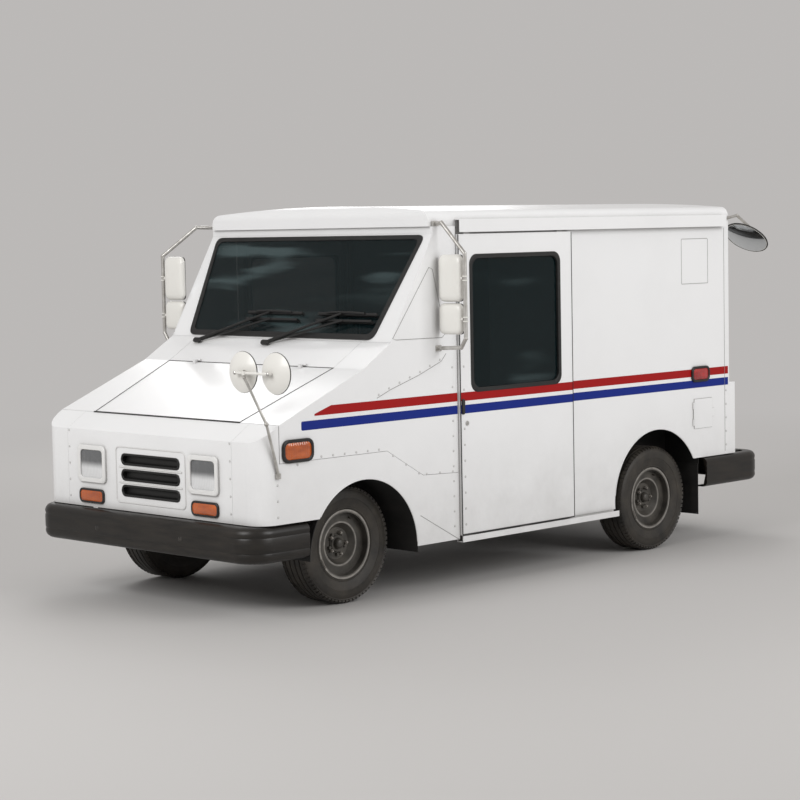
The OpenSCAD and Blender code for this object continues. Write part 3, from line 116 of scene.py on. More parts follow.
# ---- Painted aluminium body ----
# Sheets of aluminium alloy, riveted and bonded over a frame, sprayed white inside
# and out: nose, arch panels, cab sides, cargo sides, roof, rear frame and bonnet.
class Wire:
    """A shader socket that takes part in sums; each operator adds one Math node."""

    def __init__(self, tree, socket):
        self.tree, self.socket = tree, socket

    def math(self, operation, *terms):
        node = self.tree.nodes.new("ShaderNodeMath")
        node.operation = operation
        for entry, term in zip(node.inputs, terms):
            if isinstance(term, Wire):
                self.tree.links.new(term.socket, entry)
            else:
                entry.default_value = term
        return Wire(self.tree, node.outputs[0])

    def __add__(self, other):
        return self.math("ADD", self, other)

    __radd__ = __add__

    def __mul__(self, other):
        return self.math("MULTIPLY", self, other)

    __rmul__ = __mul__

    def __sub__(self, other):
        return self.math("SUBTRACT", self, other)

    def __rsub__(self, other):
        return self.math("SUBTRACT", other, self)

    def __pow__(self, other):
        return self.math("POWER", self, other)

    def size(self):
        return self.math("ABSOLUTE", self)

    def limited(self):
        clipped = self.math("ADD", self, 0.0)
        clipped.socket.node.use_clamp = True
        return clipped


class Finish:
    """One material: its nodes, and the surface shader that they feed."""

    def __init__(self, name, colour, **fixed):
        self.material = bpy.data.materials.new(name)
        self.material.use_nodes = True
        self.tree = self.material.node_tree
        self.surface = self.tree.nodes["Principled BSDF"]
        self.surface.inputs["Base Color"].default_value = (*colour, 1)
        for socket, value in fixed.items():
            self.surface.inputs[socket.replace("_", " ")].default_value = value

    def node(self, kind, settings, sockets, out=0):
        node = self.tree.nodes.new(kind)
        for key, value in settings.items():
            setattr(node, key, value)
        for key, value in sockets.items():
            if isinstance(value, Wire):
                self.tree.links.new(value.socket, node.inputs[key])
            else:
                node.inputs[key].default_value = value
        return Wire(self.tree, node.outputs[out])

    def place(self, centre=(0, 0, 0), stretch=(1, 1, 1)):
        """Object coordinates, moved to a centre and stretched."""
        here = self.node("ShaderNodeTexCoord", {}, {}, "Object")
        return self.node("ShaderNodeMapping", {}, {
            "Vector": here, "Location": tuple(-c * s for c, s in zip(centre, stretch)), "Scale": stretch})

    def axis(self, name, **where):
        return self.node("ShaderNodeSeparateXYZ", {}, {"Vector": self.place(**where)}, name)

    def speckle(self, scale, detail=3.0, rough=0.5, **where):
        return self.node("ShaderNodeTexNoise", {}, {
            "Vector": self.place(**where), "Scale": scale, "Detail": detail, "Roughness": rough})

    def band(self, wire, low, high, start=0.0, end=1.0):
        """A smooth step of a value from one level to another."""
        return self.node("ShaderNodeMapRange", {"interpolation_type": "SMOOTHSTEP"}, {
            "Value": wire, "From Min": low, "From Max": high, "To Min": start, "To Max": end})

    def blend(self, share, first, second):
        """One colour over another; either may be a colour or a wire."""
        mix = self.tree.nodes.new("ShaderNodeMix")
        mix.data_type = "RGBA"
        for key, value in ((0, share), (6, first), (7, second)):
            if isinstance(value, Wire):
                self.tree.links.new(value.socket, mix.inputs[key])
            else:
                mix.inputs[key].default_value = (*value, 1) if isinstance(value, tuple) else value
        return Wire(self.tree, mix.outputs[2])

    def feed(self, socket, wire):
        self.tree.links.new(wire.socket, self.surface.inputs[socket])

    def relief(self, height, depth, strength=1.0):
        """Raises the surface by a height in metres, as seen by the light."""
        self.feed("Normal", self.node("ShaderNodeBump", {}, {
            "Height": height, "Distance": depth, "Strength": strength}))


def paint(name, tint, gloss, grime, low_z=0.25, high_z=1.0):
    """Sprayed enamel: orange peel, faint mottling, road film low down, and painted shade that darkens
    corners, crevices and gaps.
    """
    made = Finish(name, tint, Coat_Weight=0.35, Coat_Roughness=0.12)
    mottle = made.speckle(2.2, 4.0)
    film = made.band(made.axis("Z"), low_z, high_z, 1.0, 0.0) * made.speckle(5.0, 6.0, 0.65)
    # painted shade: ambient occlusion darkens corners, crevices and panel gaps towards the grime colour,
    # which also tints the road film
    corner = 1 - made.node("ShaderNodeAmbientOcclusion", {"samples": 6}, {"Distance": 0.05}, "AO")
    share = (film * 0.40 + corner * 0.75 + (mottle - 0.5) * 0.12).limited()
    made.feed("Base Color", made.blend(share, tint, grime))
    made.feed("Roughness", mottle * 0.12 + film * 0.25 + gloss)
    made.relief(made.speckle(260.0, 1.0), 0.0004, 0.25)
    return made


def dress(finish, *nodes):
    """Gives CAD parts their finish."""
    for name in nodes:
        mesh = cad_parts[name].data
        mesh.materials.clear()
        mesh.materials.append(finish.material)


white_paint = paint("white_paint", (0.84, 0.845, 0.85), 0.26, (0.20, 0.185, 0.165))
dress(white_paint, "front_fascia", "lower_fenders", "cab_sides", "cowl_panel", "windshield_surround",
      "cargo_side_left", "cargo_side_right", "roof_panel", "rear_frame", "hood", "door_left",
      "door_right", "door_rails", "fuel_door")


# The panels' seams and pressed edges: thin beads of grey sealer, smoothed by hand
# into each joint, that outline the quarter panels, the nose's seams and the blanks.
def woven(rings, shut_along=False):
    """Corners and faces of the skin over a row of closed rings of points."""
    count, size = len(rings), len(rings[0])
    corners = [tuple(p) for ring in rings for p in ring]
    faces = []
    for i in range(count if shut_along else count - 1):
        a, b = i * size, (i + 1) % count * size
        faces += [(a + j, a + (j + 1) % size, b + (j + 1) % size, b + j) for j in range(size)]
    if not shut_along:
        faces += [tuple(range(size)), tuple(range((count - 1) * size, count * size))]
    return corners, faces


def bar(path, radius, sides=8, shut=False):
    """A round bar along a path; radius is one number or one for each point."""
    path = [Vector(p) for p in path]
    count = len(path)
    radii = radius if isinstance(radius, (list, tuple)) else [radius] * count
    rings, across = [], None
    for i, point in enumerate(path):
        after = path[(i + 1) % count] if shut or i < count - 1 else point
        before = path[i - 1] if shut or i else point
        along = (after - before).normalized()
        if across is None:
            across = along.orthogonal().normalized()
        across = (across - along * across.dot(along)).normalized()
        side = along.cross(across)
        rings.append([point + radii[i] * (across * math.cos(t) + side * math.sin(t))
                      for t in (2 * math.pi * k / sides for k in range(sides))])
    return woven(rings, shut)


def piece(name, finish, body, slot, *parts, crease=38):
    """One mesh object from several skins, with its faces turned outwards."""
    corners, faces = [], []
    for part_corners, part_faces in parts:
        start = len(corners)
        corners += part_corners
        faces += [tuple(start + i for i in face) for face in part_faces]
    mesh = bpy.data.meshes.new(name)
    mesh.from_pydata(corners, [], faces)
    shape = bmesh.new()
    shape.from_mesh(mesh)
    bmesh.ops.remove_doubles(shape, verts=shape.verts, dist=1e-6)
    bmesh.ops.recalc_face_normals(shape, faces=shape.faces)
    shape.to_mesh(mesh)
    shape.free()
    mesh.shade_smooth()
    mesh.set_sharp_from_angle(angle=math.radians(crease))
    made = bpy.data.objects.new(name, mesh)
    studio.collection.objects.link(made)
    mesh.materials.append(finish.material)
    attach(made, body)
    return made


def flipped(points, side):
    """The same points on the truck's left (1) or right (-1)."""
    return [(side * p[0], p[1], p[2]) for p in points]


sides = ((1, "left"), (-1, "right"))
cab_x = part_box("cab_sides")[1].x
cargo_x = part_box("cargo_side_right")[0].x * -1
door_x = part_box("door_glass_left")[1].x + 0.0115
nose_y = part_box("front_fascia")[0].y
bead_r = 0.0016
sealer = Finish("grey_sealer", (0.23, 0.23, 0.23), Roughness=0.6)
sealer.feed("Base Color", sealer.blend(sealer.speckle(40.0), (0.16, 0.16, 0.16), (0.34, 0.335, 0.32)))
beads = []
for side in (1, -1):
    quarter = [(cab_x, -1.176, 1.432), (cab_x, -1.15, 1.424), (cab_x, -0.79, 1.420), (cab_x, -0.762, 1.44),
               (cab_x, -0.858, 1.80), (cab_x, -0.885, 1.812)]
    beads.append(bar(flipped(quarter, side), bead_r, 6, True))
    beads.append(bar(flipped([(cab_x, -0.985, 0.446), (cab_x, -0.676, 0.278)], side), bead_r, 6))
    beads.append(bar(flipped([(cab_x, -1.304, 1.118), (cab_x, -1.20, 1.157), (cab_x, -0.98, 1.222),
                              (cab_x, -0.80, 1.288), (cab_x, -0.76, 1.33)], side), bead_r, 6))
    beads.append(bar(flipped([(cargo_x, y, z) for y, z in (
        (1.405, 1.645), (1.668, 1.645), (1.671, 1.650), (1.671, 1.922), (1.666, 1.926), (1.405, 1.926),
        (1.401, 1.921), (1.401, 1.650))], side), bead_r, 6, True))
    beads.append(bar(flipped([(cargo_x, 1.842, 0.56), (cargo_x, 1.842, 1.99)], side), bead_r, 6))
flap_rim = ((1.517, 0.727), (1.703, 0.727), (1.703, 0.915), (1.517, 0.915))
beads.append(bar([(cargo_x, y, z) for y, z in flap_rim], bead_r, 6, True))
piece("seam_beads", sealer, "body", "white_paint", *beads)
# Painted shade: near-black bars laid along the bonnet's front, side and rear gaps stand in for the shade
# inside those gaps.
bonnet_gap_shade = Finish("bonnet_gap_shade", (0.012, 0.012, 0.012), Roughness=0.6)
bonnet_gap_shade.feed("Base Color", bonnet_gap_shade.blend(
    bonnet_gap_shade.speckle(60.0), (0.006, 0.006, 0.006), (0.045, 0.043, 0.04)))
front_gap_line = [(x, -2.0185, 1.0255) for x in (-0.628, 0.628)]
piece("bonnet_gap_shade_bars", bonnet_gap_shade, "body", "wiper_black", bar(front_gap_line, 0.0058, 8),
      *[bar([(s * 0.6215, -2.016, 1.0265), (s * 0.7005, -1.404, 1.2790)], 0.0036, 8) for s in (1, -1)],
      bar([(-0.700, -1.4055, 1.2785), (0.700, -1.4055, 1.2785)], 0.0034, 8))


# Rivets: soft aluminium domes, drawn tight along each seam and painted over with
# the body. Each row is a line that the tree below divides by the rivets' pitch.
def studs_tree(shape):
    tree = bpy.data.node_groups.new("studs_" + shape, "GeometryNodeTree")
    tree.interface.new_socket("Rows", in_out="INPUT", socket_type="NodeSocketGeometry")
    tree.interface.new_socket("Pitch", in_out="INPUT", socket_type="NodeSocketFloat")
    tree.interface.new_socket("Size", in_out="INPUT", socket_type="NodeSocketVector")
    tree.interface.new_socket("Finish", in_out="INPUT", socket_type="NodeSocketMaterial")
    tree.interface.new_socket("Studs", in_out="OUTPUT", socket_type="NodeSocketGeometry")

    def node(kind, sockets, **settings):
        made = tree.nodes.new(kind)
        for key, value in settings.items():
            setattr(made, key, value)
        for key, value in sockets.items():
            if isinstance(value, bpy.types.NodeSocket):
                tree.links.new(value, made.inputs[key])
            else:
                made.inputs[key].default_value = value
        return made

    given = node("NodeGroupInput", {})
    line = node("GeometryNodeMeshToCurve", {"Mesh": given.outputs["Rows"]})
    spread = node("GeometryNodeResampleCurve", {"Curve": line.outputs[0], "Length": given.outputs["Pitch"]},
                  mode="LENGTH")
    outward = node("GeometryNodeInputNamedAttribute", {"Name": "outward"}, data_type="FLOAT_VECTOR")
    upright = node("FunctionNodeAlignRotationToVector", {"Vector": outward.outputs["Attribute"]}, axis="Z")
    tangent = node("GeometryNodeInputTangent", {})
    turned = node("FunctionNodeAlignRotationToVector", {
        "Rotation": upright.outputs[0], "Vector": tangent.outputs[0]}, axis="X", pivot_axis="Z")
    if shape == "dome":
        stud = node("GeometryNodeMeshUVSphere", {"Segments": 10, "Rings": 6, "Radius": 1.0})
    else:
        stud = node("GeometryNodeMeshCube", {"Size": (1.0, 1.0, 1.0)})
    sized = node("GeometryNodeTransform", {"Geometry": stud.outputs[0], "Scale": given.outputs["Size"]})
    placed = node("GeometryNodeInstanceOnPoints", {
        "Points": spread.outputs[0], "Instance": sized.outputs[0], "Rotation": turned.outputs[0]})
    real = node("GeometryNodeRealizeInstances", {"Geometry": placed.outputs[0]})
    smooth = node("GeometryNodeSetShadeSmooth", {
        "Geometry": real.outputs[0], "Shade Smooth": shape == "dome"})
    finished = node("GeometryNodeSetMaterial", {
        "Geometry": smooth.outputs[0], "Material": given.outputs["Finish"]})
    node("NodeGroupOutput", {"Studs": finished.outputs[0]})
    return tree


studs_trees = {}


def studs(name, finish, body, rows, pitch, size, shape="dome"):
    """Studs along rows; a row is its points and the way that its studs face."""
    if shape not in studs_trees:
        studs_trees[shape] = studs_tree(shape)
    tree = studs_trees[shape]
    corners, edges, outward = [], [], []
    for points, way in rows:
        edges += [(len(corners) + i, len(corners) + i + 1) for i in range(len(points) - 1)]
        corners += points
        ways = [way] * len(points) if isinstance(way[0], (int, float)) else way
        outward += [value for each in ways for value in each]
    mesh = bpy.data.meshes.new(name)
    mesh.from_pydata(corners, edges, [])
    mesh.attributes.new("outward", "FLOAT_VECTOR", "POINT").data.foreach_set("vector", outward)
    made = bpy.data.objects.new(name, mesh)
    studio.collection.objects.link(made)
    modifier = made.modifiers.new("studs", "NODES")
    modifier.node_group = tree
    sockets = {s.name: s.identifier for s in tree.interface.items_tree if s.in_out == "INPUT"}
    modifier[sockets["Pitch"]] = pitch
    modifier[sockets["Size"]] = size
    modifier[sockets["Finish"]] = finish.material
    view = bpy.context.evaluated_depsgraph_get()
    plain = bpy.data.meshes.new_from_object(made.evaluated_get(view))
    made.modifiers.clear()
    made.data = plain
    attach(made, body)
    return made


rivet_pitch, rivet_size = 0.0775, (0.0066, 0.0066, 0.0030)
rivet_paint = paint("rivet_paint", (0.60, 0.60, 0.59), 0.35, (0.16, 0.15, 0.14))
rows = []
for side in (1, -1):
    way = (side, 0, 0)
    for line in ([(-1.893, 0.839), (-1.296, 0.839)], [(-1.19, 0.796), (-0.99, 0.682)],
                 [(-0.93, 0.672), (-0.72, 0.668)], [(-0.712, 0.357), (-0.712, 0.95)],
                 [(-0.712, 1.14), (-0.712, 1.36)],
                 [(-1.29, 1.135), (-1.20, 1.170), (-0.98, 1.236), (-0.81, 1.298)],
                 [(-1.893, 0.810), (-1.893, 0.811)]):
        rows.append((flipped([(cab_x, y, z) for y, z in line], side), way))
    rows.append((flipped([(cargo_x, 1.855, 0.60), (cargo_x, 1.855, 0.95)], side), way))
    rows.append((flipped([(cab_x, -2.036, 0.548), (cab_x, -2.036, 0.80)], side), way))
    rows.append((flipped([(0.692, nose_y, 0.560), (0.692, nose_y, 0.930)], side), (0, -1, 0)))
studs("body_rivets", rivet_paint, "body", rows, rivet_pitch, rivet_size)


# ---- Striping ----
# Two bands of coloured vinyl film, cut on the bench and rolled on along both sides.
# They are cut through at the door's edges, so a piece of each rides on the door.
def plate(outline, side, inner, outer):
    """A thin plate drawn in the side view, between two distances from the middle."""
    return woven([[(side * x, y, z) for y, z in outline] for x in (inner, outer)])


stripe_red, stripe_blue = (1.057, 1.105), (0.986, 1.034)
film_t = 0.0005
films = {}
for colour, tint in (("red", (0.34, 0.0008, 0.0015)), ("blue", (0.0006, 0.016, 0.21))):
    film = Finish(colour + "_film", tint, Specular_IOR_Level=0.25)
    fade = film.speckle(6.0, 5.0, 0.6)
    faded = tuple(0.6 * c + 0.012 for c in tint)
    film.feed("Base Color", film.blend((fade - 0.45).limited() * 0.5, tint, faded))
    film.feed("Roughness", fade * 0.2 + 0.32)
    film.relief(film.speckle(180.0, 2.0), 0.0003, 0.2)
    films[colour] = film
door_front, door_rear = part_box("door_left")[0].y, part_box("door_left")[1].y
body_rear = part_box("cargo_side_right")[1].y
for colour, (low, high) in (("red", stripe_red), ("blue", stripe_blue)):
    if colour == "red":
        nose_end = [(-1.765, low), (-1.765, low + 0.010), (-1.644, high)]
    else:
        nose_end = [(-1.855, low), (-1.861, low + 0.006), (-1.861, high - 0.006), (-1.855, high)]
    for side, hand in sides:
        cab = plate(nose_end + [(door_front - 0.006, high), (door_front - 0.006, low)], side,
                    cab_x - 0.001, cab_x + film_t)
        cargo = plate([(door_rear - 0.030, low), (door_rear - 0.030, high), (body_rear - 0.002, high),
                       (body_rear - 0.002, low)], side, cargo_x - 0.001, cargo_x + film_t)
        piece(f"{colour}_stripe_{hand}", films[colour], "body", "white_paint", cab, cargo)
        panel = plate([(door_front + 0.001, low), (door_front + 0.001, high), (door_rear - 0.001, high),
                       (door_rear - 0.001, low)], side, door_x - 0.001, door_x + film_t)
        piece(f"{colour}_stripe_door_{hand}", films[colour], hand + "_door", "white_paint", panel)


# ---- Bumpers ----
# Pressed steel channels, coated black and wrapped round the corners of the body.
# Domed bolts hold them to the frame, and the rear one has a studded step on top.
def black_coat(name, tint, dust, scuff_scale=14.0, rough=0.42):
    """Black coating gone grey-brown with dust, scuffed in streaks along its length."""
    made = Finish(name, tint, Specular_IOR_Level=0.4)
    streak = made.speckle(scuff_scale, 5.0, 0.6, stretch=(0.35, 0.35, 2.2))
    broad = made.speckle(1.6, 3.0)
    made.feed("Base Color", made.blend((streak * 1.5 - 0.5).limited() * broad, tint, dust))
    made.feed("Roughness", streak * 0.28 + rough)
    made.relief(made.speckle(320.0, 2.0), 0.0006, 0.3)
    return made


bumper_black = black_coat("bumper_black", (0.0060, 0.0050, 0.0040), (0.050, 0.040, 0.030), rough=0.22)
front_low, front_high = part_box("front_bumper")
rear_low, rear_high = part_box("rear_bumper")


rail_inner, rail_outer, rail_low, rail_top = 0.335, 0.385, 0.405, 0.495
rail_front_y, rail_rear_y, set_in = -2.098, 1.998, 0.012


def wrapped_bar(low, high, ahead, corner, soft, depth):
    """A bumper's bar: a soft-edged channel that follows its plan round both corners."""
    middle_z, half_z = (low.z + high.z) / 2, (high.z - low.z) / 2
    y_out, y_in = (low.y, high.y) if ahead < 0 else (high.y, low.y)
    plan = [((high.x, y_in), (1, 0))]
    for k in range(13):
        t = math.radians(90 * k / 12)
        plan.append(((high.x - corner + corner * math.cos(t), y_out - ahead * corner * (1 - math.sin(t))),
                     (math.cos(t), ahead * math.sin(t))))
    plan += [((-x, y), (-nx, ny)) for (x, y), (nx, ny) in reversed(plan)]
    section = [(depth, half_z)]
    for k in range(7):
        t = math.radians(90 * k / 6)
        section.append((soft * (1 - math.sin(t)), half_z - soft * (1 - math.cos(t))))
    section += [(0.0035, half_z * 0.42), (0.0, half_z * 0.34)]
    section += [(0.0, -half_z * 0.34), (0.0035, -half_z * 0.42)]
    section += [(i, -z) for i, z in reversed(section[:8])]
    section += [(depth, -half_z + 0.008), (soft * 0.8, -half_z + 0.014), (0.010, 0.0),
                (soft * 0.8, half_z - 0.014), (depth, half_z - 0.008)]
    return woven([[(x - nx * i, y - ny * i, middle_z + z) for i, z in section]
                  for (x, y), (nx, ny) in plan])


front_bar = piece("front_bumper_bar", bumper_black, "body", "bumper_black",
                  wrapped_bar(front_low, front_high, -1, 0.150, 0.042, 0.075))
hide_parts("front_bumper")
rear_bar = piece("rear_bumper_bar", bumper_black, "body", "bumper_black",
                 wrapped_bar(rear_low, rear_high, 1, 0.150, 0.036, 0.080))
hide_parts("rear_bumper")


def beam(name, low, high, soft=0.004):
    """A short black steel beam with its edges eased."""
    shape = bmesh.new()
    bmesh.ops.create_cube(shape, size=1.0)
    for corner in shape.verts:
        corner.co = Vector([(low[i] + high[i]) / 2 + corner.co[i] * (high[i] - low[i]) for i in range(3)])
    bmesh.ops.bevel(shape, geom=shape.edges[:], offset=soft, segments=2, profile=0.5, affect="EDGES")
    shape.verts.index_update()
    part = [tuple(v.co) for v in shape.verts], [tuple(v.index for v in f.verts) for f in shape.faces]
    shape.free()
    return piece(name, bumper_black, "body", "bumper_black", part)


for side, hand in sides:
    a, b = sorted((side * rail_inner, side * rail_outer))
    beam("front_bumper_bracket_" + hand, (a, front_low.y + set_in, rail_low), (b, rail_front_y, rail_top))
    beam("rear_bumper_bracket_" + hand, (a, rail_rear_y, rail_low), (b, rear_high.y - set_in, rail_top))
step_half = 0.80
beam("rear_step_plate", (-step_half, body_rear + 0.075, rear_high.z - 0.006),
     (step_half, rear_high.y - 0.070, rear_high.z - 0.001), soft=0.002)
bolt_black = black_coat("bolt_black", (0.02, 0.019, 0.018), (0.12, 0.10, 0.08), 60.0, 0.3)
bolts = []
for ahead, y, z in ((-1, front_low.y + 0.001, front_low.z + 0.097),
                    (1, rear_high.y - 0.001, rear_low.z + 0.130)):
    for x in (-0.36, 0.36):
        bolts.append(([(x, y, z), (x + 0.001, y, z)], (0, ahead, 0)))
studs("bumper_bolts", bolt_black, "body", bolts, 1.0, (0.016, 0.016, 0.0035))
tread_half, tread_z = 0.62, rear_high.z - 0.0022
studs("rear_step_studs", bolt_black, "body",
      [([(-tread_half, rear_high.y - d, tread_z), (tread_half, rear_high.y - d, tread_z)], (0, 0, 1))
       for d in (0.10, 0.14, 0.18)], 0.045, (0.009, 0.009, 0.0028))


# ---- Lamps ----
# Square sealed headlamps in pale surrounds, amber turn signals and side markers,
# and red lamps behind, each a moulded fluted lens in a ring that screws to the body.
def rounded(width, height, corner, steps=6):
    """A rounded rectangle's outline about its middle."""
    points = []
    for cx, cy, start in ((1, 1, 0), (-1, 1, 90), (-1, -1, 180), (1, -1, 270)):
        for k in range(steps + 1):
            t = math.radians(start + 90 * k / steps)
            points.append((cx * (width / 2 - corner) + corner * math.cos(t),
                           cy * (height / 2 - corner) + corner * math.sin(t)))
    return points


class Face:
    """A flat place on the truck: its middle, the way across it, the way up it and the way out."""

    def __init__(self, middle, across, up):
        self.middle, self.across, self.up = Vector(middle), Vector(across), Vector(up)
        self.out = self.across.cross(self.up)

    def at(self, u, v, n):
        return self.middle + u * self.across + v * self.up + n * self.out

    def frame_band(self, outer, inner, back, front, round_off=0.003):
        """A ring between two outlines, with its front edges rounded off."""
        loops = [(outer, back, 0), (outer, front - round_off, 0), (outer, front, -round_off),
                 (inner, front, round_off), (inner, front - round_off, 0), (inner, back, 0)]
        rings = []
        for loop, n, grow in loops:
            rings.append([self.at(u + grow * (u > 0) - grow * (u < 0), v + grow * (v > 0) - grow * (v < 0), n)
                          for u, v in loop])
        return woven(rings, True)

    def slab(self, outline, back, front, round_off=0.002):
        """A plate of one outline with its front edge rounded off."""
        shrunk = [(u * (1 - round_off / 0.03), v * (1 - round_off / 0.03)) for u, v in outline]
        return woven([[self.at(u, v, back) for u, v in outline],
                      [self.at(u, v, front - round_off) for u, v in outline],
                      [self.at(u, v, front) for u, v in shrunk]])

    def fluted_lens(self, width, height, front, flutes, crown):
        """A crowned lens with upright flutes moulded in its face, closed behind."""
        across, upward = flutes * 4, 14
        rows = []
        for j in range(upward + 1):
            v = 2 * j / upward - 1
            line = []
            for i in range(across + 1):
                u = 2 * i / across - 1
                flute = 0.0009 * math.cos(2 * math.pi * flutes * (u + 1) / 2)
                lift = crown * (1 - u ** 4) * (1 - v ** 4) + flute
                round_u = u * (1 - 0.04 * abs(v) ** 12)
                round_v = v * (1 - 0.04 * abs(u) ** 12)
                line.append(self.at(round_u * width / 2, round_v * height / 2, front - crown + lift))
            rows.append(line)
        corners = [tuple(p) for line in rows for p in line]
        size = across + 1
        faces = [(j * size + i, j * size + i + 1, (j + 1) * size + i + 1, (j + 1) * size + i)
                 for j in range(upward) for i in range(across)]
        edge = ([i for i in range(size)] + [j * size + across for j in range(1, upward + 1)]
                + [upward * size + i for i in range(across - 1, -1, -1)]
                + [j * size for j in range(upward - 1, 0, -1)])
        start = len(corners)
        corners += [tuple(Vector(corners[k]) - self.out * self.out.dot(Vector(corners[k]) - self.middle))
                    for k in edge]
        count = len(edge)
        faces += [(edge[k], edge[(k + 1) % count], start + (k + 1) % count, start + k) for k in range(count)]
        faces.append(tuple(range(start, start + count)))
        return corners, faces


def lens_finish(name, tint, shaded_tint, clearness):
    """Moulded plastic or glass over a bright reflector, with painted reflector shade in stretched noise
    patches and a faint painted glow.
    """
    made = Finish(name, tint, Roughness=0.12, Coat_Weight=1.0, Coat_Roughness=0.04, Metallic=clearness,
                  Emission_Color=(*tint, 1), Emission_Strength=0.06)
    # painted shade and glow: stretched noise darkens the lens towards the shaded tint as the reflector's
    # shade, and a faint emission makes the unlit lens glow
    depth = made.speckle(9.0, 2.0, stretch=(1, 1, 2.5))
    made.feed("Base Color", made.blend((depth * 1.6 - 0.4).limited(), shaded_tint, tint))
    made.feed("Roughness", depth * 0.12 + 0.06)
    return made


side_front = {s: Face((s * cab_x, -1.892, 0.885), (0, s, 0), (0, 0, 1)) for s in (1, -1)}
side_rear = {s: Face((s * cargo_x, 1.582, 1.072), (0, s, 0), (0, 0, 1)) for s in (1, -1)}
heads = {s: Face((s * 0.480, nose_y, 0.751), (1, 0, 0), (0, 0, 1)) for s in (1, -1)}
turns = {s: Face((s * 0.489, nose_y, 0.571), (1, 0, 0), (0, 0, 1)) for s in (1, -1)}
tails = {s: Face((s * 0.852, body_rear + 0.070, 0.860), (-1, 0, 0), (0, 0, 1)) for s in (1, -1)}
pale_surround = paint("pale_surround", (0.80, 0.80, 0.79), 0.22, (0.18, 0.17, 0.16))
black_ring = black_coat("black_ring", (0.012, 0.012, 0.012), (0.06, 0.055, 0.05), 40.0, 0.3)
piece("headlamp_surrounds", pale_surround, "body", "lamp_bezel", *[
    face.frame_band(rounded(0.250, 0.209, 0.030), rounded(0.196, 0.155, 0.022), 0.0, 0.014)
    for face in heads.values()])
ring_round = 0.34
rings = [(turns, 0.220, 0.080, 0.011), (side_front, 0.219, 0.122, 0.017),
         (side_rear, 0.183, 0.099, 0.015), (tails, 0.084, 0.190, 0.010)]
ring_piece = piece("signal_rings", black_ring, "body", "lamp_bezel", *[
    face.frame_band(rounded(w, h, ring_round * min(w, h)),
                    rounded(w - 2 * b, h - 2 * b, ring_round * min(w - 2 * b, h - 2 * b)), 0.0, 0.013)
    for faces, w, h, b in rings for face in faces.values()])
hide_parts("lamp_bezels")
clear = Finish("clear_lens", (0.70, 0.71, 0.72), Roughness=0.08, Coat_Weight=1.0, Coat_Roughness=0.03,
               Metallic=0.25)
# painted shade: the headlamp lens is pale below about z 0.72 and dark above 0.77, standing in for the
# reflector's lit and shaded halves
reflector_shade_band = clear.band(clear.axis("Z"), 0.722, 0.772)
clear.feed("Base Color", clear.blend((reflector_shade_band + (clear.speckle(30.0) - 0.5) * 0.2).limited(),
                                     (0.80, 0.81, 0.82), (0.13, 0.135, 0.14)))
clear.feed("Roughness", reflector_shade_band * 0.10 + 0.06)
amber = lens_finish("amber_lens", (0.62, 0.125, 0.008), (0.26, 0.04, 0.002), 0.0)
red = lens_finish("red_lens", (0.55, 0.012, 0.010), (0.16, 0.003, 0.003), 0.0)
head_lenses = piece("headlamp_lenses", clear, "body", "lamp_lens", *[
    face.fluted_lens(0.200, 0.159, 0.012, 15, 0.007) for face in heads.values()], crease=60)
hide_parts("lamp_lenses")
piece("amber_lenses", amber, "body", "lamp_lens",
      *[face.fluted_lens(0.202, 0.062, 0.0135, 14, 0.005) for face in turns.values()],
      *[face.fluted_lens(0.189, 0.092, 0.0138, 12, 0.007) for face in side_front.values()], crease=60)
piece("red_lenses", red, "body", "lamp_lens",
      *[face.fluted_lens(0.157, 0.073, 0.0138, 11, 0.007) for face in side_rear.values()],
      *[face.fluted_lens(0.068, 0.174, 0.0135, 5, 0.006) for face in tails.values()], crease=60)


# ---- Grille ----
# Three slots cut in the nose, each lined with a moulded black rim with round ends,
# on a raised pale panel; behind them stands the finned radiator in its frame.
grille_x, grille_z, slot_heights = 0.029, 0.7075, (0.621, 0.708, 0.794)
grille = Face((grille_x, nose_y, grille_z), (1, 0, 0), (0, 0, 1))
rims, louvres = [], []
for z in slot_heights:
    slot = Face((grille_x, nose_y, z), (1, 0, 0), (0, 0, 1))
    rims.append(slot.frame_band(rounded(0.506, 0.066, 0.0325, 8), rounded(0.478, 0.040, 0.0195, 8),
                                -0.030, 0.0045))
    louvres.append(slot.slab(rounded(0.480, 0.042, 0.0205, 8), -0.030, -0.022))
slot_black = black_coat("slot_black", (0.006, 0.006, 0.006), (0.02, 0.019, 0.018), 30.0, 0.35)
piece("grille_slots", slot_black, "body", "lamp_bezel", *rims, *louvres)
piece("grille_panel_edge", pale_surround, "body", "white_paint",
      grille.frame_band(rounded(0.600, 0.312, 0.030), rounded(0.588, 0.300, 0.025), -0.001, 0.004),
      *[bar([grille.at(u, z - grille_z, 0.0005) for u in (-0.27, 0.27)], 0.004, 8) for z in (0.6645, 0.751)])
radiator_steel = black_coat("radiator_black", (0.02, 0.02, 0.02), (0.07, 0.065, 0.06), 20.0, 0.5)
core = Face((0.03, nose_y + 0.070, 0.73), (1, 0, 0), (0, 0, 1))
piece("radiator_tanks", radiator_steel, "body", "engine_iron",
      *[core.slab([(u, v + w) for u, v in rounded(0.70, 0.05, 0.015)], -0.050, 0.0) for w in (-0.16, 0.16)],
      *[core.slab([(u + w, v) for u, v in rounded(0.03, 0.30, 0.008)], -0.045, -0.004)
        for w in (-0.335, 0.335)],
      core.slab(rounded(0.66, 0.28, 0.004), -0.035, -0.028))
studs("radiator_fins", radiator_steel, "body",
      [([tuple(core.at(-0.32, 0, -0.015)), tuple(core.at(0.32, 0, -0.015))], (0, -1, 0))],
      0.012, (0.002, 0.27, 0.028), "block")


